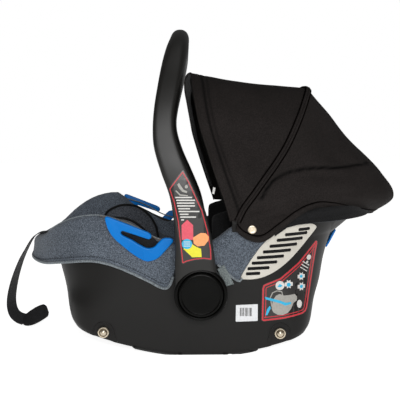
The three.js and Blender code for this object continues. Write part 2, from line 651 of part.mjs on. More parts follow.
// ---------- harness ----------
const PAD_TOP = FOAM.thick + INSERT_LOW + 33;
const strapZ = (x) => seatLine(x) + PAD_TOP;

function ribbon(stations, y, half, low, thick) {
  const rows = (lift) => stations.map((x) => [y(x) - half, y(x) + half].map((across) =>
    [x, across, strapZ(x) + lift]));
  return slab(rows(low + thick), rows(low));
}
const BUCKLE_X = -112;
const BUCKLE_Z = strapZ(BUCKLE_X);
const strapY = (s) => through([[BUCKLE_X, s * 13], [-60, s * 24], [0, s * 36], [120, s * 42]]);
for (const [side, s] of SIDES) {
  const along = count(12).map((i) => mix(-84, 128, i / 11));
  add(`shoulder_strap_${side}`, ribbon(along, strapY(s), 12.5, 3, 1.6), WEBBING);
  const pad = count(7).map((i) => mix(-30, 84, i / 6));
  add(`shoulder_pad_${side}`, ribbon(pad, strapY(s), 24, 5.2, 9), BLACK_CLOTH);
  add(`buckle_tongue_${side}`, box(BUCKLE_X + 13, BUCKLE_X + 27, s * 13 - 9, s * 13 + 9,
    BUCKLE_Z + 10, BUCKLE_Z + 12), STEEL);
}
add('crotch_strap', box(BUCKLE_X - 10, BUCKLE_X - 8, -12.5, 12.5, BUCKLE_Z - 1, BUCKLE_Z + 5.6),
  WEBBING);
add('crotch_pad', box(BUCKLE_X - 38, BUCKLE_X - 15, -24, 24, BUCKLE_Z + 3, BUCKLE_Z + 11),
  BLACK_CLOTH);
const buckleBox = box(BUCKLE_X - 13, BUCKLE_X + 12.5, -28, 28, BUCKLE_Z + 6, BUCKLE_Z + 24);
add('buckle_body', without(buckleBox,
  box(BUCKLE_X - 9, BUCKLE_X + 8, -12, 12, BUCKLE_Z + 17, BUCKLE_Z + 30)), PLASTIC);
add('buckle_button', box(BUCKLE_X - 8.5, BUCKLE_X + 7.5, -11.5, 11.5, BUCKLE_Z + 21,
  BUCKLE_Z + 26), RED);

// Harness adjuster in the front of the seat, where the tightening strap comes out.
const LIP_Z = 176.4;
add('adjuster_housing', without(
  box(-287.5, -250, -22, 22, LIP_Z, LIP_Z + 11),
  box(-295, -246, -14, 14, LIP_Z + 2.5, LIP_Z + 5.5),
  box(-279, -257, -14, 14, LIP_Z + 6.5, LIP_Z + 14),
), PLASTIC);
add('adjuster_button', box(-278.5, -257.5, -13.5, 13.5, LIP_Z + 9.8, LIP_Z + 13.4),
  HANDLE_PLASTIC);
add('harness_yoke', box(118, 142, -40, 40, 122, 125), STEEL);

// ---------- tightening strap ----------
const STRAP_HALF = 12.5;
const STRAP_THICK = 1.6;
// Route of the strap's middle, X, Y and Z, with its turn about its own length in degrees.
const STRAP_ROUTE = [
  [-288.1, 0, LIP_Z + 4, 0], [-299, 0, LIP_Z + 5.2, 0], [-311, 0, LIP_Z + 6.2, 0],
  [-323, -1, LIP_Z + 5.4, 0], [-333, -3, LIP_Z - 0.5, 0], [-340.5, -5, 166, 2],
  [-348, -7, 152, 5], [-356, -9, 136, 10],
  [-363, -11, 118, 15], [-369, -13, 99, 20], [-373.5, -15, 80, 25], [-376, -17, 62, 29],
  [-375.5, -18, 46, 33], [-371, -19, 33, 37], [-362, -20, 25, 41], [-352, -20.5, 21.5, 44],
];

function strapRing([x, y, z, turn], along, half, thick) {
  const flat = new THREE.Vector3(0, 1, 0);
  flat.addScaledVector(along, -flat.dot(along)).normalize();
  flat.applyAxisAngle(along, THREE.MathUtils.degToRad(turn));
  const normal = new THREE.Vector3().crossVectors(along, flat);
  const at = new THREE.Vector3(x, y, z);
  return [[1, 0], [0.94, 1], [0, 1], [-0.94, 1], [-1, 0], [-0.94, -1], [0, -1], [0.94, -1]]
    .map(([u, v]) => at.clone().addScaledVector(flat, u * half)
      .addScaledVector(normal, v * thick / 2).toArray());
}

function directionAt(route, k) {
  const a = new THREE.Vector3(...route[Math.max(k - 1, 0)]);
  return new THREE.Vector3(...route[Math.min(k + 1, route.length - 1)]).sub(a).normalize();
}
add('adjuster_strap', loft(STRAP_ROUTE.map((p, k) =>
  strapRing(p, directionAt(STRAP_ROUTE, k), STRAP_HALF, STRAP_THICK))), WEBBING);

const TAB_ROUTE = [
  [-347.8, -20.9, 21.8, 46.5], [-344, -21, 22.4, 50], [-336, -21.5, 26, 58], [-324, -22, 33, 62],
  [-313, -22.5, 39, 64], [-309, -22.7, 41, 64],
];
const TAB_HALF = [12.5, 13.5, 13.5, 13.5, 12.5, 8];
add('strap_pull_tab', loft(TAB_ROUTE.map((p, k) =>
  strapRing(p, directionAt(TAB_ROUTE, k), TAB_HALF[k], 3.6))), BLACK_CLOTH);

export default group;
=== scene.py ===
# %% [markdown]
# # Infant car seat
# The seat is a black rocking tub with a padded cover, a carry handle on two round hubs and a
# folding canopy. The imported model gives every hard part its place, so this lesson loads it first
# and then makes the surfaces a person sees and touches.

# %% Load the frame
import math
import bmesh
import bpy
from mathutils import Matrix, Vector, noise
from mathutils.bvhtree import BVHTree
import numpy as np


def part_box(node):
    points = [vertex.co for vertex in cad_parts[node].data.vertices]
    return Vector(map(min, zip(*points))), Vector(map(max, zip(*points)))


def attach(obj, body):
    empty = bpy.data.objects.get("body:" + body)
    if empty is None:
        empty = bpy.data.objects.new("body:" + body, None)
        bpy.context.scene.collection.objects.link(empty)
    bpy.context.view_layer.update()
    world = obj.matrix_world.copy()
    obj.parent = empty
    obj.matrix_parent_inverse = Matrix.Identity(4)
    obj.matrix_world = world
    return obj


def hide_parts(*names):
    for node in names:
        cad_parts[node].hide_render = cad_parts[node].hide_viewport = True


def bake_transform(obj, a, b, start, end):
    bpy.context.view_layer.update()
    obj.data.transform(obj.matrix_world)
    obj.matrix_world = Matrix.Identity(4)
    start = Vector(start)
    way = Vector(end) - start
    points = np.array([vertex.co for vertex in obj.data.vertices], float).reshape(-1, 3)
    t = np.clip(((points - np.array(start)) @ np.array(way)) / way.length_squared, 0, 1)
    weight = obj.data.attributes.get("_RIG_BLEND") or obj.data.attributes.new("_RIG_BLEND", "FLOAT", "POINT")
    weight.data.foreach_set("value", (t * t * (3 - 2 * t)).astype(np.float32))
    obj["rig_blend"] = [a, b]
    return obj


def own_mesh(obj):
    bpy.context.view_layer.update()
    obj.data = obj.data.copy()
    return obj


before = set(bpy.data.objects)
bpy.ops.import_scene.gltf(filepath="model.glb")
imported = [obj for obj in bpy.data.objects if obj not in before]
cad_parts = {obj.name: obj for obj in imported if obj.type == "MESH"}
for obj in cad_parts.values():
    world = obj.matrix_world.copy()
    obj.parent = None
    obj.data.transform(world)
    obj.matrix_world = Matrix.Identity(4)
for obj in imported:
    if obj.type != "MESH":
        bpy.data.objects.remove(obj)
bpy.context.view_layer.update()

# %% [markdown]
# The camera stands where a person crouching two steps away would hold it: a little above the
# middle of the seat, looking slightly down.

# %% Camera
camera = bpy.data.objects.new("camera", bpy.data.cameras.new("camera"))
bpy.context.collection.objects.link(camera)
camera.data.lens = 67.8
camera.location = (-0.0535, -1.4, 0.3718)
camera.rotation_euler = (math.radians(90 - 5.311), 0, math.radians(-1.136))
bpy.context.scene.camera = camera
print("camera", tuple(round(c, 3) for c in camera.location))

# %% [markdown]
# Moulded and sewn surfaces are measured at a few stations and run smoothly between them. One
# spline helper and one helper that skins rows of points make most of the curved surfaces. Each
# surface keeps a UV map in metres, so that a weave has the same size everywhere on it.

# %% Helpers for smooth surfaces
def through(stations):
    """A smooth function through (place, value) stations."""
    def slope(i):
        a, b = stations[max(i - 1, 0)], stations[min(i + 1, len(stations) - 1)]
        return (b[1] - a[1]) / (b[0] - a[0])
    def value(x):
        if x <= stations[0][0]:
            return stations[0][1]
        if x >= stations[-1][0]:
            return stations[-1][1]
        i = next(k for k in range(len(stations) - 1) if x <= stations[k + 1][0])
        (x0, v0), (x1, v1) = stations[i], stations[i + 1]
        w = x1 - x0
        t = (x - x0) / w
        h = (3 - 2 * t) * t * t
        bend = w * t * (1 - t) * ((1 - t) * slope(i) - t * slope(i + 1))
        return v0 * (1 - h) + v1 * h + bend
    return value


def mix(a, b, t):
    return a + (b - a) * t


def clamp(x, low=0.0, high=1.0):
    return max(low, min(high, x))


def ease(x, low, high):
    t = clamp((x - low) / (high - low))
    return t * t * (3 - 2 * t)


def spline(points, steps):
    """A smooth run through points, with steps pieces between each two."""
    points = [Vector(p) for p in points]
    out = []
    for k in range(len(points) - 1):
        a, b = points[k], points[k + 1]
        before, after = points[max(k - 1, 0)], points[min(k + 2, len(points) - 1)]
        for j in range(steps):
            t = j / steps
            out.append(0.5 * (2 * a + (b - before) * t + (2 * before - 5 * a + 4 * b - after) * t ** 2
                              + (3 * a - 3 * b + after - before) * t ** 3))
    return out + [points[-1]]


def even(points, n):
    """n + 1 points at equal distances along a run of points."""
    points = [Vector(p) for p in points]
    dist = [0.0]
    for a, b in zip(points, points[1:]):
        dist.append(dist[-1] + (b - a).length)
    out, k = [], 0
    for i in range(n + 1):
        want = dist[-1] * i / n
        while k < len(points) - 2 and dist[k + 1] < want:
            k += 1
        span = dist[k + 1] - dist[k]
        out.append(points[k].lerp(points[k + 1], clamp((want - dist[k]) / span if span else 0)))
    return out


def new_object(name, mesh):
    obj = bpy.data.objects.new(name, mesh)
    bpy.context.collection.objects.link(obj)
    return obj


def skin(name, rows, around=False, close_rows=False, caps=False, values=None):
    """Skins rows of points, in millimetres. The UV map is in metres along and across."""
    mesh = bpy.data.meshes.new(name)
    bm = bmesh.new()
    cols = len(rows[0])
    verts = [[bm.verts.new(Vector(p) / 1000) for p in row] for row in rows]
    uv = bm.loops.layers.uv.new("UVMap")
    u = [[0.0] for _ in rows]
    v = [[0.0] * (cols + 1)]
    for r, row in enumerate(rows):
        for c in range(cols):
            step = (Vector(row[(c + 1) % cols]) - Vector(row[c])).length / 1000
            u[r].append(u[r][-1] + step)
        if r:
            v.append([v[-1][c] + (Vector(row[c % cols]) - Vector(rows[r - 1][c % cols])).length / 1000
                      for c in range(cols + 1)])
    for r in range(len(rows) - (0 if close_rows else 1)):
        r2 = (r + 1) % len(rows)
        for c in range(cols if around else cols - 1):
            c2 = (c + 1) % cols
            ring = [verts[r][c], verts[r][c2], verts[r2][c2], verts[r2][c]]
            if len(set(ring)) < 4:
                continue
            face = bm.faces.new(ring)
            spots = [(u[r][c], v[r][c]), (u[r][c + 1], v[r][c + 1]),
                     (u[r2][c + 1], v[r2][c + 1]), (u[r2][c], v[r2][c])]
            for loop, spot in zip(face.loops, spots):
                loop[uv].uv = spot
    if caps:
        bm.faces.new(verts[0])
        bm.faces.new(list(reversed(verts[-1])))
    bm.to_mesh(mesh)
    bm.free()
    for key, grid in (values or {}).items():
        attribute = mesh.attributes.new(key, "FLOAT", "POINT")
        attribute.data.foreach_set("value", [w for row in grid for w in row])
    mesh.shade_smooth()
    return new_object(name, mesh)


def only(obj):
    """Selects one object alone, so an operator changes nothing else."""
    bpy.ops.object.select_all(action="DESELECT")
    obj.select_set(True)
    bpy.context.view_layer.objects.active = obj


def apply(obj, kind, **settings):
    """Adds a modifier and applies it."""
    only(obj)
    m = obj.modifiers.new(kind.title(), kind)
    for key, value in settings.items():
        setattr(m, key, value)
    bpy.ops.object.modifier_apply(modifier=m.name)


def edit(obj, *steps):
    """Runs mesh operators on the whole of one object."""
    only(obj)
    bpy.ops.object.mode_set(mode="EDIT")
    bpy.ops.mesh.select_all(action="SELECT")
    for step, settings in steps:
        step(**settings)
    bpy.ops.object.mode_set(mode="OBJECT")


def outward(obj):
    edit(obj, (bpy.ops.mesh.remove_doubles, dict(threshold=1e-6)),
         (bpy.ops.mesh.normals_make_consistent, dict(inside=False)))


def smooth(obj, angle=35):
    only(obj)
    bpy.ops.object.shade_smooth_by_angle(angle=math.radians(angle))


def wrap_uv(obj):
    """UV in metres on a stuffed form: each face is laid flat along its main direction."""
    mesh = obj.data
    layer = mesh.uv_layers.active or mesh.uv_layers.new(name="UVMap")
    for face in mesh.polygons:
        n = face.normal
        flat = max(range(3), key=lambda i: abs(n[i]))
        a, b = [i for i in range(3) if i != flat]
        for k in face.loop_indices:
            co = mesh.vertices[mesh.loops[k].vertex_index].co
            layer.data[k].uv = (co[a], co[b])


def finished(obj, material, body="shell", stands_for=()):
    """Gives a piece its material and body, and hides the CAD solid it stands for."""
    obj.data.materials.clear()
    obj.data.materials.append(material)
    if not obj.data.uv_layers:
        wrap_uv(obj)
    if body:
        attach(obj, body)
    if stands_for:
        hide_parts(*stands_for)
    return obj


def tube(name, points, radius, sides=8, closed=False, squash=1.0, n=None):
    points = even(points + [points[0]] if closed else points, n or max(8, int(run_length(points) / 3)))
    if closed:
        points = points[:-1]
    rows, up = [], Vector((0, 0, 1))
    for k, at in enumerate(points):
        after = points[(k + 1) % len(points)] if closed else points[min(k + 1, len(points) - 1)]
        before = points[k - 1] if closed or k else points[0]
        along = (after - before).normalized()
        side = along.cross(up)
        side = side.normalized() if side.length > 1e-3 else along.cross(Vector((0, 1, 0))).normalized()
        lift = side.cross(along)
        rows.append([at + side * (math.cos(2 * math.pi * i / sides) * radius * squash)
                     + lift * (math.sin(2 * math.pi * i / sides) * radius) for i in range(sides)])
    obj = skin(name, rows, around=True, close_rows=closed, caps=not closed)
    outward(obj)
    smooth(obj, 80)
    return obj


def run_length(points):
    return sum((Vector(b) - Vector(a)).length for a, b in zip(points, points[1:]))


SIDES = (("left", -1), ("right", 1))
print("helpers ready")

# %% [markdown]
# ## Materials
# Each finish is one node tree. A single helper adds a node with its settings and its links, and
# one function turns the hex colours of a paint chart into the linear values that Blender mixes.

# %% Colour and node helpers
def colour(code):
    """sRGB hex to linear."""
    parts = [int(code[i:i + 2], 16) / 255 for i in (1, 3, 5)]
    return tuple(c / 12.92 if c <= 0.04045 else ((c + 0.055) / 1.055) ** 2.4 for c in parts) + (1,)


def node(tree, kind, settings=None, **links):
    """Adds a node. A link's value is a constant or another node's output."""
    n = tree.nodes.new(kind)
    for key, value in (settings or {}).items():
        setattr(n, key, value)
    for key, value in links.items():
        names = key.replace("_", " ").title()
        socket = n.inputs[int(key[1:])] if key[0] == "i" and key[1:].isdigit() else n.inputs[names]
        if isinstance(value, bpy.types.NodeSocket):
            tree.links.new(value, socket)
        else:
            socket.default_value = value
    return n


def blank(name):
    """A material with a Principled shader, and the shader."""
    material = bpy.data.materials.new(name)
    material.use_nodes = True
    return material, material.node_tree, material.node_tree.nodes["Principled BSDF"]


def ramp(tree, source, stops):
    n = node(tree, "ShaderNodeValToRGB", Fac=source)
    while len(n.color_ramp.elements) < len(stops):
        n.color_ramp.elements.new(0.5)
    for element, (place, code) in zip(n.color_ramp.elements, stops):
        element.position = place
        element.color = colour(code)
    return n.outputs["Color"]


def per_mm(size):
    """Texture scale, in cells per metre, for a pattern of this size in millimetres."""
    return 1000 / size


print("node helpers ready")

# %% [markdown]
# Moulded plastics: the tub and the handle are injection-moulded. Spark-eroded tool steel gives
# polypropylene its dull, finely pitted face, while the handle's tool was polished to satin.
# The grain is a noise of about half a millimetre, and a slow noise shifts the shine, because
# hands and handling polish some spots more than others.

# %% Moulded plastics
def moulded(name, base, patch, grain_mm, depth, rough, spread, ior=1.49, shine_level=0.5):
    material, tree, shader = blank(name)
    place = node(tree, "ShaderNodeTexCoord").outputs["Object"]
    slow = node(tree, "ShaderNodeTexNoise", Vector=place, Scale=per_mm(70), Detail=3.0)
    grain = node(tree, "ShaderNodeTexNoise", Vector=place, Scale=per_mm(grain_mm), Detail=3.0,
                 Roughness=0.6)
    tree.links.new(ramp(tree, slow.outputs["Fac"], [(0.3, base), (0.75, patch)]),
                   shader.inputs["Base Color"])
    shine = node(tree, "ShaderNodeMapRange", i0=slow.outputs["Fac"], i1=0.3, i2=0.7,
                 i3=rough - spread, i4=rough + spread)
    tree.links.new(shine.outputs[0], shader.inputs["Roughness"])
    bump = node(tree, "ShaderNodeBump", Height=grain.outputs["Fac"], Strength=0.35,
                Distance=depth / 1000)
    tree.links.new(bump.outputs[0], shader.inputs["Normal"])
    shader.inputs["IOR"].default_value = ior
    shader.inputs["Specular IOR Level"].default_value = shine_level
    return material


# Spark-eroded polypropylene: soft grey shine that hides scratches.
tub_plastic = moulded("spark_eroded_polypropylene", "#121110", "#161514", 0.9, 0.12, 0.5, 0.05,
                       shine_level=0.18)
# Satin nylon: darker and smoother, with a broad highlight down the arm.
handle_plastic = moulded("satin_moulded_nylon", "#100f0d", "#141311", 0.6, 0.03, 0.42, 0.04,
                          shine_level=0.3)
# The hubs come from the same nylon but a polished tool, so they stay deep black.
hub_plastic = moulded("polished_black_nylon", "#070706", "#090908", 0.6, 0.01, 0.26, 0.03,
                      shine_level=0.06)
# Gloss acetal: clean saturated blue with a slippery shine.
blue_plastic = moulded("gloss_blue_acetal", "#0064b0", "#006cba", 1.2, 0.02, 0.3, 0.04, 1.48,
                        shine_level=0.12)
# Satin ABS: warm light grey.
vent_plastic = moulded("satin_warm_grey_abs", "#b3afa5", "#bbb7ad", 0.8, 0.03, 0.42, 0.05, 1.53)
# Gloss ABS: the red push button of the harness.
red_plastic = moulded("gloss_red_abs", "#a50d14", "#b0121a", 1.0, 0.02, 0.28, 0.03, 1.53)
# Expanded bead foam: white cells a few millimetres across.
bead_foam = moulded("expanded_bead_foam", "#deded8", "#efefe9", 3.2, 0.6, 0.9, 0.03, 1.4)
print("plastics ready")

# %% [markdown]
# Metals: the domed nuts and the snap are bright nickel plate over steel, which gives a warm,
# slightly cloudy mirror. The springs are drawn wire, brushed along their length.

# %% Plated steel
def plated(name, base, patch, rough):
    material, tree, shader = blank(name)
    place = node(tree, "ShaderNodeTexCoord").outputs["Object"]
    cloud = node(tree, "ShaderNodeTexNoise", Vector=place, Scale=per_mm(4), Detail=4.0)
    tree.links.new(ramp(tree, cloud.outputs["Fac"], [(0.35, base), (0.7, patch)]),
                   shader.inputs["Base Color"])
    shine = node(tree, "ShaderNodeMapRange", i0=cloud.outputs["Fac"], i3=rough - 0.06,
                 i4=rough + 0.1)
    tree.links.new(shine.outputs[0], shader.inputs["Roughness"])
    shader.inputs["Metallic"].default_value = 1.0
    return material


nickel = plated("bright_nickel_plate", "#b3a793", "#c4b9a6", 0.3)
spring_wire = plated("drawn_spring_wire", "#8f8f8c", "#a3a3a0", 0.36)
print("metals ready")

# %% [markdown]
# Cloth: the cover and the insert are melange cloth, spun from light and dark fibres, so each
# thread changes tone every few millimetres. Two noises, one of 1.8 mm and one of 0.9 mm, give
# that speckle the same size all over. Two crossed waves draw the threads: real ones are about
# 0.5 mm apart, too fine to show here, so they are drawn at 1.3 mm. Fibre ends standing off the
# cloth are its pale sheen.

# %% Woven cloth
def woven(name, tones, thread_mm, speckle, sheen, rough=0.92, depth=0.25, folds=0.0, seam=None,
          shine_level=0.25):
    material, tree, shader = blank(name)
    flat = node(tree, "ShaderNodeTexCoord").outputs["UV"]
    place = node(tree, "ShaderNodeTexCoord").outputs["Object"]
    split = node(tree, "ShaderNodeSeparateXYZ", Vector=flat)
    waves = []
    for axis in "XY":
        turns = node(tree, "ShaderNodeMath", {"operation": "MULTIPLY"}, i0=split.outputs[axis],
                     i1=2 * math.pi * per_mm(thread_mm))
        waves.append(node(tree, "ShaderNodeMath", {"operation": "SINE"}, i0=turns.outputs[0]))
    coarse = node(tree, "ShaderNodeTexNoise", Vector=place, Scale=per_mm(1.8), Detail=2.0)
    fine = node(tree, "ShaderNodeTexNoise", Vector=place, Scale=per_mm(0.9), Detail=2.0)
    both = node(tree, "ShaderNodeMath", {"operation": "ADD"}, i0=coarse.outputs["Fac"],
                i1=fine.outputs["Fac"])
    centred = node(tree, "ShaderNodeMapRange", i0=both.outputs[0], i1=1 - speckle, i2=1 + speckle)
    slow = node(tree, "ShaderNodeTexNoise", Vector=place, Scale=per_mm(90), Detail=2.0)
    drift = node(tree, "ShaderNodeMapRange", i0=slow.outputs["Fac"], i1=0.3, i2=0.7, i3=-0.12,
                 i4=0.12)
    total = node(tree, "ShaderNodeMath", {"operation": "ADD", "use_clamp": True},
                 i0=centred.outputs[0], i1=drift.outputs[0])
    tint = ramp(tree, total.outputs[0], tones)
    if seam:
        # Painted shade: where the seam attribute is high, the colour turns to the seam colour, standing for
        # the shade in a seam's crease.
        line = node(tree, "ShaderNodeAttribute", {"attribute_name": "seam"})
        tint = node(tree, "ShaderNodeMix", {"data_type": "RGBA"}, i0=line.outputs["Fac"],
                    i6=tint, i7=colour(seam)).outputs[2]
    tree.links.new(tint, shader.inputs["Base Color"])
    cross = node(tree, "ShaderNodeMath", {"operation": "MULTIPLY"}, i0=waves[0].outputs[0],
                 i1=waves[1].outputs[0])
    height = node(tree, "ShaderNodeBump", Height=cross.outputs[0], Strength=0.5,
                  Distance=depth / 1000)
    last = height
    if folds:
        crease = node(tree, "ShaderNodeTexNoise", Vector=place, Scale=per_mm(38), Detail=2.0,
                      Distortion=0.8)
        last = node(tree, "ShaderNodeBump", Height=crease.outputs["Fac"], Strength=0.6,
                    Distance=folds / 1000, Normal=height.outputs[0])
    tree.links.new(last.outputs[0], shader.inputs["Normal"])
    shader.inputs["Roughness"].default_value = rough
    shader.inputs["Sheen Weight"].default_value = sheen
    shader.inputs["Sheen Roughness"].default_value = 0.45
    shader.inputs["Specular IOR Level"].default_value = shine_level
    return material


# Blue-grey melange polyester: light and dark fibres seen as a speckle.
heather_cloth = woven("blue_grey_melange_polyester",
                      [(0.05, "#30353c"), (0.5, "#4c535c"), (0.95, "#6b737d")], 1.3, 0.26, 0.1)
# Charcoal melange jersey of the insert.
charcoal_cloth = woven("charcoal_melange_jersey",
                       [(0.05, "#292b2f"), (0.5, "#404349"), (0.95, "#5a5e65")], 1.3, 0.26, 0.08)
# Plain woven polyester of the canopy: warm black, close weave, faint slack creases, and painted shade near
# black along its seam creases.
canopy_cloth = woven("plain_woven_canopy_polyester",
                     [(0.1, "#181615"), (0.5, "#1f1c1b"), (0.9, "#272322")], 1.2, 0.3, 0.0,
                     rough=0.8, depth=0.12, folds=3.4, seam="#020202", shine_level=0.06)
# Black knit of the pads and the canopy's lining.
black_cloth = woven("black_polyester_knit",
                    [(0.1, "#09090a"), (0.5, "#111112"), (0.9, "#1b1b1d")], 1.4, 0.3, 0.05)
# Piping and binding: folded knit tape, black, and lighter grey round the cover's hem.
black_tape = woven("black_folded_tape", [(0.2, "#060606"), (0.8, "#101011")], 0.9, 0.3, 0.04)
grey_tape = woven("grey_folded_tape", [(0.1, "#4d5459"), (0.9, "#858c90")], 0.9, 0.3, 0.1)
# Ribbed polyester webbing: ribs across the strap, about 1.5 mm apart.
webbing = woven("ribbed_polyester_webbing", [(0.1, "#08080a"), (0.6, "#131315"), (0.9, "#222226")],
                1.5, 0.3, 0.08, rough=0.6, depth=0.5)
elastic = woven("woven_grey_elastic", [(0.1, "#4f5656"), (0.5, "#666d6d"), (0.9, "#7d8484")],
                1.2, 0.25, 0.1)
# Sewing thread sunk in a seam, drawn near black with no shine at all: painted shade of the seam's groove over
# the thread.
seam_thread_shade = woven("black_thread_painted_shade", [(0.2, "#050404"), (0.8, "#0b0908")], 0.6, 0.3, 0.0,
                    shine_level=0.0)
thread_dark = woven("dark_sewing_thread", [(0.2, "#101215"), (0.8, "#1d2025")], 0.6, 0.3, 0.0)
thread_tan = woven("tan_sewing_thread", [(0.2, "#5d5145"), (0.8, "#85776a")], 0.6, 0.3, 0.0)
tag_cloth = woven("white_satin_tag", [(0.2, "#b9b8b5"), (0.8, "#d9d8d4")], 0.7, 0.3, 0.1)
print("cloths ready")

# %% [markdown]
# Printed film: the stickers are vinyl with flat inks. Ink is never quite even, so a fine noise
# moves each tone a little, and a thin clear coat gives the film its shine.

# %% Inks and film
def ink(name, base, patch, rough=0.45):
    material, tree, shader = blank(name)
    place = node(tree, "ShaderNodeTexCoord").outputs["Object"]
    grain = node(tree, "ShaderNodeTexNoise", Vector=place, Scale=per_mm(3), Detail=3.0)
    tree.links.new(ramp(tree, grain.outputs["Fac"], [(0.3, base), (0.7, patch)]),
                   shader.inputs["Base Color"])
    shader.inputs["Roughness"].default_value = rough
    return material


film_black = ink("black_vinyl_film", "#14110f", "#1a1614", 0.32)
ink_red = ink("red_vinyl_ink", "#a8111f", "#b81626")
ink_pink = ink("light_red_ink", "#c23a4c", "#cc4658")
ink_white = ink("white_vinyl_ink", "#bab8b4", "#c8c6c2")
ink_orange = ink("pale_orange_ink", "#d98b4e", "#e0955c")
ink_yellow = ink("yellow_ink", "#cbc40a", "#d4cd12")
ink_azure = ink("azure_ink", "#1497bf", "#1ea3ca")
ink_grey = ink("grey_ink", "#8a8882", "#96948e")
paper = ink("white_label_paper", "#c6c7c9", "#d0d1d3", 0.6)
print("inks ready")

# %% [markdown]
# ## Floor and light
# A lit white table and an even white surround stand in for a studio's light tent. A large
# soft lamp in front puts the broad grey shine on the handle's arm, and a weak one hangs above.

# %% Floor, surround and lamps
floor_material = moulded("matt_white_table_film", "#f2f2f0", "#f6f6f4", 6.0, 0.02, 0.85, 0.02)
bpy.ops.object.select_all(action="DESELECT")
bpy.ops.mesh.primitive_plane_add(size=14, location=(0, 0, -0.0012))
floor = bpy.context.object
floor.name = "floor"
bpy.ops.object.transform_apply(location=True, rotation=True, scale=True)
floor.data.materials.append(floor_material)

shader = floor_material.node_tree.nodes["Principled BSDF"]
shader.inputs["Emission Color"].default_value = (1, 1, 1, 1)
shader.inputs["Emission Strength"].default_value = 0.85

world = bpy.data.worlds.new("studio")
bpy.context.scene.world = world
world.use_nodes = True
sky = world.node_tree
for item in list(sky.nodes):
    if item.type == "BACKGROUND":
        sky.nodes.remove(item)
seen = node(sky, "ShaderNodeBackground", Color=(1, 1, 1, 1), Strength=1.0)
fill = node(sky, "ShaderNodeBackground", Color=(1, 1, 1, 1), Strength=0.17)
ray = node(sky, "ShaderNodeLightPath")
mixed = node(sky, "ShaderNodeMixShader", i0=ray.outputs["Is Camera Ray"], i1=fill.outputs[0],
             i2=seen.outputs[0])
sky.links.new(mixed.outputs[0], sky.nodes["World Output"].inputs["Surface"])
bpy.context.scene.view_settings.view_transform = "Standard"


def lamp(name, place, aim, size, power):
    light = bpy.data.lights.new(name, "AREA")
    light.shape = "RECTANGLE"
    light.size, light.size_y = size
    light.energy = power
    obj = new_object(name, light)
    obj.location = place
    obj.rotation_euler = (Vector(aim) - Vector(place)).to_track_quat("-Z", "Y").to_euler()
    return obj


lamp("front_softbox", (0.1, -2.6, 0.95), (0, 0, 0.25), (1.3, 0.8), 45)
lamp("top_softbox", (0.3, -0.6, 2.3), (0, 0, 0.2), (1.4, 1.4), 5)
print("stage ready")

# %% [markdown]
# ## Tightening strap
# The strap that tightens the harness comes out of the adjuster at the foot end. It is 25 mm
# webbing, stiff enough to arch outwards before it hangs, and it turns over itself at the bottom
# where its sewn tab rests. A flat strap is skinned as a thin ring carried along its route.

# %% The strap's route, a cord
LIP_Z = 176.4
STRAP_ROUTE = [
    (-288.1, 0, LIP_Z + 4, 0), (-299, 0, LIP_Z + 5.2, 0), (-311, 0, LIP_Z + 6.2, 0),
    (-323, -1, LIP_Z + 5.4, 0), (-333, -3, LIP_Z - 0.5, 0), (-340.5, -5, 166, 2),
    (-348, -7, 152, 5), (-356, -9, 136, 10), (-363, -11, 118, 15), (-369, -13, 99, 20),
    (-373.5, -15, 80, 25), (-376, -17, 62, 29), (-375.5, -18, 46, 33), (-371, -19, 33, 37),
    (-362, -20, 25, 41), (-352, -20.5, 21.5, 44)]
TAB_ROUTE = [
    (-354.5, -20.4, 21.9, 43), (-350, -20.8, 21.6, 45), (-344, -21, 22.4, 50), (-336, -21.5, 26, 58),
    (-324, -22, 33, 62), (-313, -22.5, 39, 64), (-309, -22.7, 41, 64)]
STRAP_SECTION = [(1, 0), (0.96, 0.75), (0.86, 1), (0.5, 1), (0, 1), (-0.5, 1), (-0.86, 1),
                 (-0.96, 0.75), (-1, 0), (-0.96, -0.75), (-0.86, -1), (-0.5, -1), (0, -1),
                 (0.5, -1), (0.86, -1), (0.96, -0.75)]


def strap(name, route, halves, thick, steps=6, lay=(0, 1, 0), section=STRAP_SECTION):
    """A flat strap along a route of (x, y, z, turn in degrees)."""
    places = spline([p[:3] for p in route], steps)
    turns = spline([(p[3], h, 0) for p, h in zip(route, halves)], steps)
    rows = []
    for k, at in enumerate(places):
        along = (places[min(k + 1, len(places) - 1)] - places[max(k - 1, 0)]).normalized()
        flat = Vector(lay)
        flat = (flat - along * flat.dot(along)).normalized()
        flat = Matrix.Rotation(math.radians(turns[k].x), 3, along) @ flat
        normal = along.cross(flat)
        half = turns[k].y
        rows.append([at + flat * (u * half) + normal * (v * thick / 2) for u, v in section])
    obj = skin(name, rows, around=True, caps=True)
    outward(obj)
    smooth(obj, 40)
    return obj, places


pull_strap, strap_path = strap("pull_strap", STRAP_ROUTE, [12.5] * 16, 1.6)
finished(pull_strap, webbing, "shell", ["adjuster_strap"])
pull_tab, _ = strap("pull_tab", TAB_ROUTE, [8, 12.6, 14, 14.6, 14.6, 12.6, 7], 4.2)
finished(pull_tab, black_cloth, "shell", ["strap_pull_tab"])

# %% [markdown]
# ## The tub
# The tub is one polypropylene moulding, 4 mm thick. Its outside is a stack of levels from the
# rocker to the rim, each a rounded rectangle of its own size, so a skin over many in-between
# levels gives the real curve. Arch-shaped pockets are pressed in round the four domed nuts.

# %% The seat's plan and heights
SHELL_HALF = 176
STRAIGHT = (-110, 40)
FOOT_REACH, HEAD_REACH = 216, 235
ROD_FRONT, ROD_REAR, ROD_SEAT = (-189.6, 37.4), (104.6, 34.1), 170.5
HUB = (-28.4, 108.2)
rim_z = through([
    (-322, 172), (-300, 183), (-277, 201), (-247, 217), (-218, 224.5), (-190, 225.5), (-142, 212),
    (-102, 190), (-66, 181), (-10, 184), (22, 206), (60, 220), (120, 230), (200, 236), (276, 240)])
seat_line = through([
    (-322, 162), (-290, 166), (-230, 150), (-170, 118), (-110, 88), (-60, 72), (0, 80),
    (80, 118), (160, 162), (240, 204), (276, 220)])


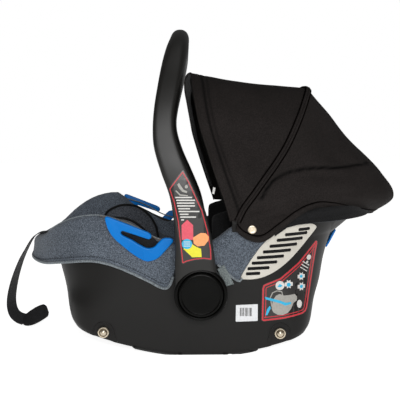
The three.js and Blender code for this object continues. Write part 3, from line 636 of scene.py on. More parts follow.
def plan(foot, head, half, power, steps=22, straight=4.0):
    """A closed outline in plan, from the head end round by the child's right."""
    def corner(angle, centre, reach):
        c, s = math.cos(angle), abs(math.sin(angle))
        return (centre + math.copysign(abs(c) ** (2 / power), c) * reach, s ** (2 / power) * half)
    quarter = [math.pi / 2 * i / steps for i in range(steps + 1)]
    right = [corner(a, STRAIGHT[1], head) for a in quarter]
    middle = int((STRAIGHT[1] - STRAIGHT[0]) / straight)
    right += [(mix(STRAIGHT[1], STRAIGHT[0], i / middle), half) for i in range(1, middle)]
    right += [corner(math.pi / 2 + a, STRAIGHT[0], foot) for a in quarter]
    right[0] = (right[0][0], 0.0)
    right[-1] = (right[-1][0], 0.0)
    return right + [(x, -y) for x, y in reversed(right[1:-1])]


def rocker(x):
    return 0.0407 * max(-66 - x, x - 16, 0) ** 1.336


LEVELS = [  # reach to the foot end, to the head end, half width, squareness, height along X
    (0, 0, 0, 3, rocker), (0, 0, 140, 3, rocker), (30, 40, 170, 5, rocker),
    (90, 74, 171.5, 5, rocker), (130, 113, 173, 5.4, rocker),
    (139, 121, 174.3, 5.6, lambda x: rocker(x) + 5),
    (145, 127, 174.8, 5.4, lambda x: rocker(x) + 16),
    (150, 133, SHELL_HALF, 4.8, lambda x: mix(82, rocker(x) + 40, 0.5)),
    (160, 148, SHELL_HALF, 3.3, lambda x: 110), (174, 159, SHELL_HALF, 2.7, lambda x: 150),
    (180, 173, SHELL_HALF, 2.4, lambda x: mix(150, rim_z(x) - 7, 0.48)),
    (182, 183, SHELL_HALF, 2.3, lambda x: mix(150, rim_z(x) - 7, 0.62)),
    (184, 203, SHELL_HALF, 2.2, lambda x: mix(150, rim_z(x) - 7, 0.86)),
    (186, 220, SHELL_HALF, 2.2, lambda x: rim_z(x) - 7)]


def pocket(x, z):
    """Depth of the arch-shaped pocket round a domed nut."""
    deepest = 0.0
    for bx, bz in (ROD_FRONT, ROD_REAR):
        across = abs(x - bx)
        up = z - bz
        away = math.hypot(across, up) if up > 0 else across
        deepest = max(deepest, 1 - ease(away, 14.5, 17.5))
    return 2.6 * deepest


def tub_ring(level, n):
    foot, head, half, power, height = level
    outline = plan(foot, head, half, power)
    ring = even([(x, y, 0) for x, y in outline] + [(*outline[0], 0)], n)[:-1]
    return [Vector((p.x, p.y, height(p.x))) for p in ring]


tub_levels = [tub_ring(level, 300) for level in LEVELS]
tub_rows = []
for column in zip(*tub_levels):
    tub_rows.append(spline(column, 6))
tub_rows = [list(row) for row in zip(*tub_rows)]
for row in tub_rows:
    for p in row:
        side = 1 if p.y > 0 else -1
        if abs(p.y) > 140:
            p.y -= side * pocket(p.x, p.z)
tub = skin("rocker_tub", tub_rows, around=True)
outward(tub)
apply(tub, "SOLIDIFY", thickness=0.0036, offset=-1.0)
smooth(tub, 50)
finished(tub, tub_plastic, "shell", ["outer_shell"])
print("tub", len(tub.data.polygons), "faces")


def side_reader(obj):
    """A function that gives the Y of an object's near or far side at a place in X and Z."""
    tree = BVHTree.FromObject(obj, bpy.context.evaluated_depsgraph_get())
    def read(x, z, s=-1):
        hit = tree.ray_cast(Vector((x / 1000, s * 0.5, z / 1000)), Vector((0, -s, 0)))[0]
        return hit.y * 1000 if hit else None
    return read


tub_side = side_reader(tub)
# Each pocket has a thin raised lip, an arch that stands on the rocker's edge.
for side, s in SIDES:
    for end, (bx, bz) in (("front", ROD_FRONT), ("rear", ROD_REAR)):
        arch = [(bx - 19 - (bz - 24) * 0.15, 24)] + [
            (bx - 17.5 * math.cos(q), bz + 17.5 * math.sin(q))
            for q in [math.pi * i / 12 for i in range(13)]] + [(bx + 19 + (bz - 24) * 0.15, 24)]
        line = [(x, tub_side(x, z, s), z) for x, z in arch]
        line = [Vector((x, y + s * 0.1, z)) for x, y, z in line if y is not None and z > rocker(x) + 2]
        finished(tube("pocket_lip_%s_%s" % (end, side), line, 0.9), tub_plastic, "shell")
print("tub side at the middle", round(tub_side(-100, 80), 1))

# %% [markdown]
# ## Padded seat cover
# The cover is one quilted skin: it lines the bowl, rolls over the rim and hangs outside the tub,
# with its hem cut up over the vents. It is skinned in rows from the middle of the seat over the
# rim to the hem, then given its own thickness, and slow noise leaves the small puckers that
# stuffed cloth has. Tape binds the hem, and a line of dark stitches runs just above it.

# %% Bowl rows
BUCKET_IN, COVER, FOAM_FROM = 9, 4.5, 44


def bowl(shrink, lift, inset, steps=22):
    """One ring of the bowl's surface: shrink 1 is the rim, and towards 0 it closes."""
    ring = []
    for x, y in plan(FOOT_REACH - inset, HEAD_REACH - inset, SHELL_HALF - inset, 2.2, steps):
        spine = clamp(x, -215, 190)
        px = spine + (x - spine) * shrink
        low = seat_line(px)
        foam = clamp((px - FOAM_FROM) / 28) * 12.2 * (1 - shrink ** 6)
        z = low + (rim_z(x) - low) * shrink ** 4 + lift + foam
        ring.append(Vector((px, y * shrink, z)))
    return ring


hem_z = through([
    (-331, 149), (-296, 146), (-263, 151), (-208, 157), (-175, 151.5), (-142, 138.5),
    (-126, 131), (-110, 123), (-96, 115), (-88, 112.5), (-82, 114), (-77, 121), (-73, 134),
    (-68, 152), (-4, 153), (3, 149), (34, 124), (42, 132), (58, 158), (76, 181), (92, 197),
    (106, 209), (130, 217), (200, 222), (281, 226)])


def rim_row(grow, lift, power=2.2):
    return [Vector((x, y, rim_z(x) + lift))
            for x, y in plan(FOOT_REACH + grow, HEAD_REACH + grow, SHELL_HALF + grow, power)]


def hem_row(grow, share, lift):
    """A row between the rim's edge and the hem: share 1 is the hem."""
    rim = plan(FOOT_REACH + 5, HEAD_REACH + 5, SHELL_HALF + 5, 2.2)
    hem = plan(FOOT_REACH + grow, HEAD_REACH + grow, SHELL_HALF + grow, 2.6)
    return [Vector((mix(a[0], b[0], share), mix(a[1], b[1], share),
                    mix(rim_z(a[0]) - 4, hem_z(b[0]), share) + lift)) for a, b in zip(rim, hem)]


stack = [bowl(s, COVER + 1.4, BUCKET_IN + 5) for s in (0.1, 0.22, 0.34, 0.45, 0.56, 0.66, 0.74,
                                                      0.8, 0.86, 0.9, 0.935, 0.965)]
stack += [rim_row(-BUCKET_IN, 5.3), rim_row(-4, 6.6), rim_row(0.5, 6.2), rim_row(3.6, 3.4),
          rim_row(5, -1)]
stack += [hem_row(5.2, share, 0) for share in (0.06, 0.25, 0.5, 0.75, 0.94, 1.0)]
cover_rows = [spline(column, 3) for column in zip(*stack)]
cover_rows = [list(row) for row in zip(*cover_rows)]
far_puff = through([(-300, 0), (-270, 6), (-233, 10), (-200, 11), (-184, 9), (-172, -3), (-160, -9),
                    (-90, -9), (-60, 0)])
for r, row in enumerate(cover_rows):
    for p in row:
        if p.y > 60:                  # the far side is stuffed a little fuller
            p.z += far_puff(p.x) * ease(p.y, 60, 140) * math.exp(-((r - 42) / 13) ** 2)
        out = Vector((p.x if p.x < -110 or p.x > 40 else 0, p.y, 0)).normalized()
        pucker = noise.noise(Vector((p.x / 34, p.y / 34, p.z / 24))) * 0.9
        if r > 48:
            p += out * pucker
        elif r < 36:
            p.z += pucker
cover = skin("seat_cover_cloth", cover_rows, around=True)
outward(cover)
apply(cover, "SOLIDIFY", thickness=0.0026, offset=-1.0)
smooth(cover, 60)

# %% [markdown]
# The cover's skirt is cut round each vent, where the tub's own wall shows. The cutter is the
# vent's leaf outline grown by a few millimetres and pushed through both sides.

# %% Cut the cover round the vents
VENT_OUTLINE = [
    (37, 127.5), (41, 137), (52.6, 156.3), (62, 170), (72.2, 183), (88, 198.5), (102, 209.5),
    (114, 214.8), (126, 217), (145, 217), (159, 215.5), (166.5, 211.5), (166.5, 206.5), (154, 192),
    (137, 174), (118.4, 156.5), (98, 141.5), (77.5, 131.5), (57, 127)]


def plate(name, outline, y0, y1, bevel=0.0, segments=3, steps=1):
    """An outline in X and Z, pushed from y0 to y1, with its edges rounded."""
    if steps > 1:
        run = spline([(x, 0, z) for x, z in list(outline) + [outline[0]]], steps)[:-1]
        outline = [(p.x, p.z) for p in run]
    mesh = bpy.data.meshes.new(name)
    mesh.from_pydata([(x / 1000, y0 / 1000, z / 1000) for x, z in outline], [],
                     [list(range(len(outline)))])
    obj = new_object(name, mesh)
    edit(obj, (bpy.ops.mesh.extrude_region_move,
               dict(TRANSFORM_OT_translate={"value": (0, (y1 - y0) / 1000, 0)})),
         (bpy.ops.mesh.select_all, dict(action="SELECT")),
         (bpy.ops.mesh.normals_make_consistent, dict(inside=False)))
    if bevel:
        apply(obj, "BEVEL", width=bevel / 1000, segments=segments, limit_method="ANGLE",
              angle_limit=math.radians(50))
    smooth(obj, 40)
    return obj


centre = (104, 174)
grown = [(centre[0] + (x - centre[0]) * 1.03, centre[1] + (z - centre[1]) * 1.04)
         for x, z in VENT_OUTLINE]
for side, s in SIDES:
    cutter = plate("vent_cutter_" + side, grown, min(s * 120, s * 205), max(s * 120, s * 205))
    apply(cover, "BOOLEAN", operation="DIFFERENCE", object=cutter, solver="EXACT")
    bpy.data.objects.remove(cutter)
finished(cover, heather_cloth, "shell", ["seat_cover"])
print("cover", len(cover.data.polygons), "faces")

# %% [markdown]
# Tape and stitches: a bound hem is a strip of tape folded over the raw edge. One tube helper
# carries a small section along any line, and one short capsule, modelled once, is copied for
# every stitch.

# %% Tubes and stitches
def stitches(name, points, gap, length, width, proud):
    """Short stitches along a line, each a flattened capsule of a few dozen faces."""
    mesh = bpy.data.meshes.new(name)
    bm = bmesh.new()
    n = int(run_length(points) / gap)
    places = even(points, n)
    for a, b in zip(places, places[1:]):
        along = (b - a).normalized()
        out = Vector((0, a.y, 0)).normalized() if abs(a.y) > 100 else Vector((a.x, a.y * 0.5, 0)).normalized()
        out = (out - along * out.dot(along)).normalized()
        across = along.cross(out)
        middle = (a + b) / 2 + out * proud
        rings = []
        for t, w in ((-0.5, 0.35), (-0.32, 1), (0.32, 1), (0.5, 0.35)):
            rings.append([bm.verts.new((middle + along * (t * length)
                                        + across * (math.cos(q) * width / 2 * w)
                                        + out * (math.sin(q) * width / 2 * w)) / 1000)
                          for q in [math.pi / 3 * i for i in range(6)]])
        for r1, r2 in zip(rings, rings[1:]):
            for i in range(6):
                bm.faces.new([r1[i], r1[(i + 1) % 6], r2[(i + 1) % 6], r2[i]])
        bm.faces.new(list(reversed(rings[0])))
        bm.faces.new(rings[-1])
    bmesh.ops.recalc_face_normals(bm, faces=bm.faces)
    bm.to_mesh(mesh)
    bm.free()
    mesh.shade_smooth()
    return new_object(name, mesh)


# The parts of the hem that can be seen: from the handle round the foot end to the other side.
hem_line = [p for p in hem_row(5.6, 1.0, 0.2)]
foot_hem = [p for p in hem_line if p.x < -71]
hem_tape = tube("hem_tape", foot_hem, 2.2, squash=0.75)
finished(hem_tape, grey_tape, "shell")
stitch_row = []
for p, q in zip(hem_row(5.6, 0.86, 0), hem_line):
    if q.x < -73:
        d = (p - q)
        stitch_row.append(q + d.normalized() * 7.5 if d.length > 7.5 else p)
hem_stitches = stitches("hem_stitches", stitch_row, 4.2, 3.0, 1.1, 0.5)
finished(hem_stitches, thread_dark, "shell")
for side, s in SIDES:
    flap = [p for p in hem_line if -3 < p.x < 45 and p.y * s > 0]
    finished(tube("flap_tape_" + side, flap, 1.9, squash=0.7), grey_tape, "shell")
print("hem", round(run_length(foot_hem)), "mm of tape")

# %% [markdown]
# A seam runs along the rim where the bowl's cloth meets the skirt. Its cord is pulled tight
# between the leg opening and the handle, which leaves a row of gathers with tan thread.

# %% Rim seam and gathers
rim_seam = rim_row(1.6, 6.6)
for side, s in SIDES:
    line = [p for p in rim_seam if -290 < p.x < -72 and p.y * s > 60]
    finished(tube("rim_seam_" + side, line, 1.15), grey_tape, "shell")
    gathered = [p + Vector((0, s * 1.0, -0.8)) for p in rim_seam if -205 < p.x < -92 and p.y * s > 60]
    finished(stitches("rim_gathers_" + side, gathered, 4.6, 3.4, 1.5, 0.6), thread_tan, "shell")
print("rim seam ready")

# %% [markdown]
# From the vents round the head end the rim is covered by a plain black knit band, which is sewn
# over the cover and holds it to the tub. Its deep black also stands in for the shade the canopy casts on it:
# partly painted shade.

# %% Edge strip round the head end
strip_stack = [rim_row(-BUCKET_IN, 6.8), rim_row(-4, 8.2), rim_row(1, 7.8), rim_row(5, 4.2),
               rim_row(6.6, -1)] + [hem_row(6.8, share, 0) for share in (0.3, 0.65, 1.0)]
columns = [spline(column, 3) for column in zip(*strip_stack)]
middle = len(columns) // 2
columns = [column for column in columns[middle:] + columns[:middle] if column[0].x > 78]
edge_strip = skin("head_edge_strip", [list(row) for row in zip(*columns)])
outward(edge_strip)
apply(edge_strip, "SOLIDIFY", thickness=0.0016, offset=-1.0)
smooth(edge_strip, 60)
# Black knit, made this dark partly as painted shade under the canopy.
finished(edge_strip, black_cloth, "shell")
print("edge strip", len(edge_strip.data.polygons), "faces")

# %% [markdown]
# ## Insert, head support and harness pads
# These are stuffed, so cloth simulation with a little pressure gives them their fullness. Each
# starts slightly small as a plain closed form, is remeshed to even 5 mm cells, and swells for
# twenty frames. How far a point may move is capped, so the pad stays in its place in the bowl.

# %% Swelling by cloth simulation
def swell(obj, voxel, pressure, cap, frames=16, subdivide=1):
    """Fills a closed form like a cushion and keeps every point near where it began."""
    only(obj)
    obj.data.remesh_voxel_size = voxel / 1000
    bpy.ops.object.voxel_remesh()
    before = [v.co.copy() for v in obj.data.vertices]
    cloth = obj.modifiers.new("Cloth", "CLOTH")
    cloth.settings.quality = 5
    cloth.settings.use_pressure = True
    cloth.settings.uniform_pressure_force = pressure
    cloth.settings.effector_weights.gravity = 0.0
    cloth.settings.tension_stiffness = 12
    cloth.settings.compression_stiffness = 12
    cloth.settings.bending_stiffness = 1.2
    cloth.point_cache.frame_start, cloth.point_cache.frame_end = 1, frames
    for f in range(1, frames + 1):
        bpy.context.scene.frame_set(f)
    only(obj)
    bpy.ops.object.modifier_apply(modifier=cloth.name)
    bpy.context.scene.frame_set(1)
    for v, old in zip(obj.data.vertices, before):
        move = v.co - old
        if move.length > cap / 1000:
            v.co = old + move.normalized() * (cap / 1000)
    apply(obj, "SMOOTH", factor=0.5, iterations=4)
    apply(obj, "SUBSURF", levels=subdivide, render_levels=subdivide)
    smooth(obj, 180)
    wrap_uv(obj)
    return obj


insert_under = [bowl(s, 6.7, 14.5, 14) for s in (0.1, 0.3, 0.5, 0.66, 0.78, 0.86)]
insert_over = []
for s in (0.1, 0.3, 0.5, 0.66, 0.78, 0.86):
    thick = 14 + 17 * math.sin(math.pi * min(s / 0.88, 1)) ** 2
    insert_over.append(bowl(s, 6.7 + thick, 14.5 + thick * s, 14))
insert = skin("insert_cushion", insert_under[::-1] + insert_over, around=True)
insert_end = plate("insert_cutter", [(-420, -50), (-222, -50), (-222, 420), (-420, 420)], -300, 300)
edit(insert, (bpy.ops.mesh.select_all, dict(action="DESELECT")),
     (bpy.ops.mesh.select_non_manifold, dict()), (bpy.ops.mesh.fill, dict()))
outward(insert)
apply(insert, "BOOLEAN", operation="DIFFERENCE", object=insert_end, solver="EXACT")
bpy.data.objects.remove(insert_end)
swell(insert, 6, 3.0, 6)
finished(insert, charcoal_cloth, "shell", ["infant_insert"])
print("insert", len(insert.data.polygons), "faces")

# %% [markdown]
# A padded wing stands at each side of the insert, next to the child's legs. Seen from the side
# it is a low dome with black piping along its edge.

# %% Side wings and piping
WING_EDGE = [(-213.1, 201.1), (-205.5, 210.8), (-185, 219.5), (-164.4, 220.5), (-144.9, 215.1),
             (-124.4, 198.9), (-112.5, 178.3), (-108.1, 157.8)]
WING_Y = 115
for side, s in SIDES:
    edge = spline([(x, 0, z) for x, z in WING_EDGE], 4)
    outline = [(p.x, p.z) for p in edge] + [(-140, 146), (-176, 152), (-200, 172)]
    thickness = (s * (WING_Y - 7), s * (WING_Y + 17))
    wing = plate("insert_wing_" + side, outline, min(thickness), max(thickness))
    for v in wing.data.vertices:          # the wing leans out with the bowl's wall
        v.co.y += s * (v.co.z - 0.2) * 0.35
    swell(wing, 5, 4.0, 6)
    finished(wing, charcoal_cloth, "shell")
    line = [Vector((p.x, s * (WING_Y - 9 + (p.z - 200) * 0.35), p.z)) for p in edge]
    middle = Vector((-150, 0, 190))
    line = [p + (Vector((p.x, 0, p.z)) - middle).normalized() * 1.0 for p in line]
    finished(tube("wing_piping_" + side, line, 2.3), black_tape, "shell")
print("wings ready")

# %% Head support
def head_ring(reach, half, top, bottom, n=25):
    ring = []
    for i in range(n):
        t = mix(-1, 1, i / (n - 1))
        angle = math.pi / 2 * t
        x = 38 + math.cos(angle) * reach
        rest = seat_line(x) + 11 + COVER + 36
        ring.append(Vector((x - 46 * abs(math.sin(angle)) ** 6, math.sin(angle) * half,
                            rest + mix(bottom, top, abs(t) ** 0.6) + 12)))
    return ring


head = skin("head_support", [head_ring(148, 109, 2, 2), head_ring(120, 90, 2, 2),
                             head_ring(114, 86, 58, 26), head_ring(130, 98, 66, 34),
                             head_ring(146, 108, 62, 30)], close_rows=True)
edit(head, (bpy.ops.mesh.select_all, dict(action="DESELECT")),
     (bpy.ops.mesh.select_non_manifold, dict()), (bpy.ops.mesh.fill, dict()))
outward(head)
swell(head, 5, 4.0, 7)
finished(head, black_cloth, "shell", ["head_hugger"])
print("head support", len(head.data.polygons), "faces")

# %% [markdown]
# ## Canopy
# The canopy is cloth stretched over two bows. Its front sheet runs from the front bow to the
# middle bow and its rear sheet from there to the bound hem behind the head. Each sheet is skinned
# between its two edge lines, sags a little between bows, and gets folds where it is gathered
# near the pivot. Seams are creases in the sheet, marked in an attribute the cloth reads.
# The cloth paints each seam mark near black, as painted shade in the crease.

# %% The canopy's lines
CANOPY_HALF = 190.4
FRONT_NEAR = [(20.5, 225, 1), (17, 238, 1), (10.5, 260, 1), (-3.6, 299.5, 0.981),
              (-16, 339, 0.915), (-24.5, 367, 0.864), (-32, 397, 0.796), (-37, 430, 0.671),
              (-39.5, 455, 0.5), (-42.5, 470, 0.28), (-46, 475, 0)]
FRONT_FAR = [(8, 225, 1), (2.5, 243, 1), (-16.5, 298, 0.982), (-29, 339, 0.915), (-37, 367, 0.864),
             (-43, 397, 0.796), (-48.5, 427, 0.68), (-52.5, 450, 0.55), (-52.5, 468, 0.28),
             (-46, 475, 0)]
MID_EDGE = [(31, 224, 1), (42, 246, 1), (58, 268, 1), (76, 293, 0.98), (95, 318, 0.93),
            (114, 347, 0.875), (132, 382, 0.795), (146, 410, 0.655), (159, 436, 0.47),
            (166, 446, 0.24), (168, 449, 0)]
HEM_EDGE = [(29, 211, 1), (45, 197.5, 1), (72, 192, 1), (101, 211.5, 0.99), (135, 234.5, 0.93),
            (153, 242, 0.87), (171, 245, 0.81), (200, 241, 0.69), (232, 232, 0.52),
            (270, 223.5, 0.28), (290, 221, 0)]
PIVOT = Vector((30, 0, 224))


def over_top(near_edge, far_edge=None, n=110):
    """The whole line over the top, from the near foot to the far one, at equal steps."""
    near = [Vector((x, -w * CANOPY_HALF, z)) for x, z, w in near_edge]
    far = [Vector((x, w * CANOPY_HALF, z)) for x, z, w in far_edge or near_edge]
    return even(spline(near + far[-2::-1], 8), n)


back_bulge = through([(0, 0), (0.25, 13), (0.5, 27), (0.75, 51), (0.9, 56), (1, 6)])


def fold_near(p, a, b, depth, width):
    """Depth of a soft fold along the line a to b, in X and Z, on both sides of the canopy."""
    a, b = Vector((a[0], 0, a[1])), Vector((b[0], 0, b[1]))
    at = Vector((p.x, 0, p.z))
    t = clamp((at - a).dot(b - a) / (b - a).length_squared)
    away = (at - a.lerp(b, t)).length
    return depth * math.exp(-(away / width) ** 2) * math.sin(math.pi * clamp(t * 0.9 + 0.05))


FOLDS = [((48, 238), (104, 248), 5.0, 6), ((52, 226), (122, 238), 4.5, 5),
         ((60, 218), (98, 224), 3.0, 4), ((88, 236), (150, 262), 3.0, 7),
         ((36, 262), (20, 330), 1.6, 6), ((46, 282), (54, 350), 1.5, 8),
         ((120, 300), (235, 292), 1.8, 9), ((150, 262), (260, 268), 2.2, 10),
         ((30, 236), (8, 300), 1.2, 5), ((190, 330), (250, 300), 1.8, 10)]
GUSSET = spline([(70, 0, 262), (85, 0, 286), (101, 0, 297), (118, 0, 304), (145, 0, 308.5),
                 (172, 0, 309.5), (202, 0, 309), (236, 0, 311), (270, 0, 314)], 6)


def sheet_rows(a, b, n, bulge):
    """Rows from one edge to the next. Also gives how far each row is along, for the hinge."""
    rows, along = [], []
    for k in range(n + 1):
        t = k / n
        row = []
        for i, (p, q) in enumerate(zip(a, b)):
            side = abs(i / (len(a) - 1) - 0.5) * 2
            at = p.lerp(q, t)
            out = (at - Vector((60, 0, 224))).normalized()
            row.append(at + out * bulge(t, side))
        rows.append(row)
        along.append([t] * len(a))
    return rows, along


def crease(rows, lines, folds, slack):
    """Presses seams and folds into the rows, and returns how strongly each point is a seam."""
    seam = []
    for row in rows:
        marks = []
        for p in row:
            out = (p - Vector((60, 0, 224))).normalized()
            mark = 0.0
            for line in lines:
                d = min((Vector((p.x, 0, p.z)) - q).length for q in line)
                mark = max(mark, math.exp(-(d / 2.9) ** 2))
            push = -2.6 * mark
            push -= 1.5 * sum(fold_near(p, *f) for f in folds) * clamp(abs(p.y) / 60 - 0.4)
            push += noise.noise(Vector((p.x / 46, p.y / 46, p.z / 70))) * slack
            p += out * push
            marks.append(mark)
        seam.append(marks)
    return seam


front_line = over_top(FRONT_NEAR, FRONT_FAR)
mid_line = over_top(MID_EDGE)
hem_edge = over_top(HEM_EDGE)
front_rows, front_along = sheet_rows(
    front_line, mid_line, 90,
    lambda t, side: -4.5 * math.sin(math.pi * t) * (1 - side ** 2) ** 1.5)
front_seam_shade = crease(front_rows, [], FOLDS, 1.5)
# Two seams behind the front binding are pressed in and marked for the cloth's painted seam shade.
for k, row in enumerate(front_rows):       # two seams behind the front binding
    for i, p in enumerate(row):
        d = (p - front_rows[0][i]).length
        mark = max(math.exp(-((d - 17) / 2.4) ** 2), math.exp(-((d - 25) / 2.2) ** 2) * 0.5)
        mark *= clamp((d - 3) / 6)
        out = (p - Vector((60, 0, 224))).normalized()
        p += out * (1.3 * ease(d, 24, 18) * (1 - ease(d, 2, 0)) - 1.0 * mark)
        front_seam_shade[k][i] = max(front_seam_shade[k][i], 0.85 * mark)


def rear_bulge(t, side):
    return (1 - side ** 2) ** 5 * back_bulge(t) + 2.5 * math.sin(math.pi * t) * (1 - side ** 4)


rear_rows, rear_along = sheet_rows(mid_line, hem_edge, 120, rear_bulge)
rear_seam_shade = crease(rear_rows, [GUSSET], FOLDS, 1.8)
print("canopy rows", len(front_rows), len(rear_rows))

# %% The two sheets
def fan(obj, a, b, start, end):
    """Bends a sheet between two bodies row by row."""
    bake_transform(obj, a, b, start=start, end=end)
    rows = obj.data.attributes["row"].data
    share = obj.data.attributes["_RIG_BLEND"].data
    for k in range(len(rows)):
        t = clamp(rows[k].value)
        share[k].value = t * t * (3 - 2 * t)


def flat_area(obj):
    return sum(f.area for f in obj.data.polygons)


SHEETS = (("canopy_front_sheet", front_rows, front_along, front_seam_shade, "canopy_mid", "canopy_front",
           "canopy_front_panel", (0.168, 0, 0.449), (-0.044, 0, 0.475),
           ["canopy_front_bow", "canopy_mid_bow"]),
          ("canopy_rear_sheet", rear_rows, rear_along, rear_seam_shade, "shell", "canopy_mid",
           "canopy_rear_panel", (0.27, 0, 0.22), (0.168, 0, 0.449), ["canopy_mid_bow"]))
canopy_sheets = []
for name, rows, along, seam, a, b, stands_for, start, end, bows in SHEETS:
    share = [[1 - t for t in row] for row in along]
    # The seam attribute carries the mask of painted shade that the canopy cloth reads.
    sheet = skin(name, rows, values={"row": share, "seam": seam})
    bm = bmesh.new()
    bm.from_mesh(sheet.data)
    probe = max(bm.faces, key=lambda f: f.calc_center_median().z)
    if probe.normal.z < 0:
        bmesh.ops.reverse_faces(bm, faces=bm.faces)
    bm.to_mesh(sheet.data)
    bm.free()
    apply(sheet, "SOLIDIFY", thickness=0.0014, offset=-1.0)
    sheet.data.shade_smooth()
    finished(sheet, canopy_cloth, None, [stands_for])
    fan(sheet, a, b, start, end)
    # The cut is a curved piece, so its flat size is the cloth it needs each way, as measured.
    canopy_sheets.append(sheet)
print("canopy sheets", [round(flat_area(o), 3) for o in canopy_sheets])

# %% [markdown]
# The sheets are joined by welts: cloth folded over a cord and stitched down both sides. The
# front edge is bound over the front bow, black inside, and the hem is a folded band.

# %% Welts and bindings
finished(tube("canopy_front_binding", front_rows[0], 2.2, n=220), canopy_cloth, "canopy_front")
welt_line = [(a + b) / 2 for a, b in zip(front_rows[-1], rear_rows[0])]
# The welt threads are near black without shine: painted shade in the stitch grooves.
for name, shift, radius, lift, cloth in (
        ("canopy_welt_fore", -1.9, 2.2, 1.0, canopy_cloth),
        ("canopy_welt_aft", 1.9, 2.2, 1.0, canopy_cloth),
        ("canopy_welt_thread_shade_fore", -5.0, 1.3, 0.3, seam_thread_shade),
        ("canopy_welt_thread_shade_aft", 5.0, 1.3, 0.3, seam_thread_shade)):
    points = []
    for k, p in enumerate(welt_line):
        along = (welt_line[min(k + 1, 110)] - welt_line[max(k - 1, 0)]).normalized()
        out = (p - Vector((60, 0, 224))).normalized()
        across = along.cross(out).normalized()
        across *= 1 if across.x > 0 else -1
        points.append(p + across * shift + out * lift)
    finished(tube(name, points, radius, n=220), cloth, "canopy_mid")


def band(name, line, inner, width, lift, material, body):
    """A flat folded band lying on a sheet, from its edge line towards an inner line."""
    rows = []
    for share in (0.0, 0.5, 1.0):
        row = []
        for p, q in zip(line, inner):
            step = (q - p).normalized() * width * share
            out = (p - Vector((60, 0, 224))).normalized()
            row.append(p + step + out * lift * (1.4 if share == 0.5 else 1.0))
        rows.append(row)
    obj = skin(name, rows)
    apply(obj, "SOLIDIFY", thickness=0.0012, offset=0)
    obj.data.shade_smooth()
    return finished(obj, material, body)


band("canopy_hem_band", rear_rows[-1], rear_rows[-11], 8.5, 1.0, canopy_cloth, "shell")
finished(tube("canopy_hem_roll", rear_rows[-1], 1.9, n=240), canopy_cloth, "shell")
# The hem thread has the same painted seam shade.
hem_thread = []
for p, q in zip(rear_rows[-1], rear_rows[-11]):
    out = (p - Vector((60, 0, 224))).normalized()
    hem_thread.append(p + (q - p).normalized() * 9.6 + out * 0.9)
finished(tube("canopy_hem_thread_shade", hem_thread, 1.0, n=240), seam_thread_shade, "shell")
lining = [[p + (PIVOT + Vector((30, 0, 0)) - p).normalized() * d for p in front_rows[0][5:-5]]
          for d in (1.5, 12, 26)]
inner_band = skin("canopy_lining_band", lining)
apply(inner_band, "SOLIDIFY", thickness=0.0012, offset=0)
finished(inner_band, black_cloth, "canopy_front")
print("welts ready")

# %% [markdown]
# ## Handle
# The handle is one satin moulding: a flat-faced arm on each side and a rounded crossbar. Its
# section is a rounded rectangle that grows from the hubs to the crossbar, carried along the span.

# %% The carry handle
arm_foot = through([
    (60, -70), (174, -70), (205, -70.5), (237, -73), (269, -79), (305, -92), (343, -103),
    (372, -105), (404, -103), (444, -97), (478, -91), (504, -85), (523, -79), (545, -76)])
arm_head = through([
    (60, 8), (117, 2), (153, -4.5), (181, -8), (205, -12), (236, -19), (258, -27),
    (294, -42.5), (329, -58), (364, -69), (388, -71), (412, -68), (436, -63), (461, -57),
    (504, -48), (530, -46)])
HANDLE_SPAN = [(202.6, 112), (202.6, 160), (202.6, 215), (202.6, 262), (200.6, 305),
               (195.5, 345), (188, 385), (177, 420), (161, 455), (140, 484), (112, 508),
               (78, 523), (40, 530), (0, 531)]
near_span = [(0, -y, z) for y, z in HANDLE_SPAN]
span = even(spline(near_span + [(0, -y, z) for _, y, z in near_span[-2::-1]], 6), 150)
arm_rows = []
for k, p in enumerate(span):
    a, b = span[max(k - 1, 0)], span[min(k + 1, 150)]
    normal = Vector((0, -(b.z - a.z), b.y - a.y)).normalized()
    thick = mix(11, 19, ease(p.z, 330, 530))
    middle, half = (arm_foot(p.z) + arm_head(p.z)) / 2, (arm_head(p.z) - arm_foot(p.z)) / 2
    power = mix(5.0, 2.3, ease(p.z, 400, 520))
    ring = []
    for i in range(36):
        q = 2 * math.pi * i / 36
        u = math.copysign(abs(math.cos(q)) ** (2 / power), math.cos(q))
        v = math.copysign(abs(math.sin(q)) ** (2 / power), math.sin(q))
        ring.append(Vector((middle + half * u, p.y, p.z)) + normal * thick * v)
    arm_rows.append(ring)
handle = skin("carry_handle", arm_rows, around=True, caps=True)
outward(handle)
# A round pocket in each arm lets its release button sink in. The hub's lip hides the cut edge.
POCKET_RADIUS, POCKET_FLOOR, POCKET_TOP = 38.4, 196.4, 225.0
for side, s in SIDES:
    bpy.ops.object.select_all(action="DESELECT")
    bpy.ops.mesh.primitive_cylinder_add(
        vertices=72, radius=POCKET_RADIUS / 1000, depth=(POCKET_TOP - POCKET_FLOOR) / 1000,
        location=(HUB[0] / 1000, s * (POCKET_FLOOR + POCKET_TOP) / 2000, HUB[1] / 1000),
        rotation=(math.pi / 2, 0, 0))
    drill = bpy.context.object
    bpy.ops.object.transform_apply(location=True, rotation=True, scale=True)
    apply(handle, "BOOLEAN", operation="DIFFERENCE", object=drill, solver="EXACT")
    bpy.data.objects.remove(drill)
smooth(handle, 50)
finished(handle, handle_plastic, "handle", ["handle_frame"])
arm_side = side_reader(handle)


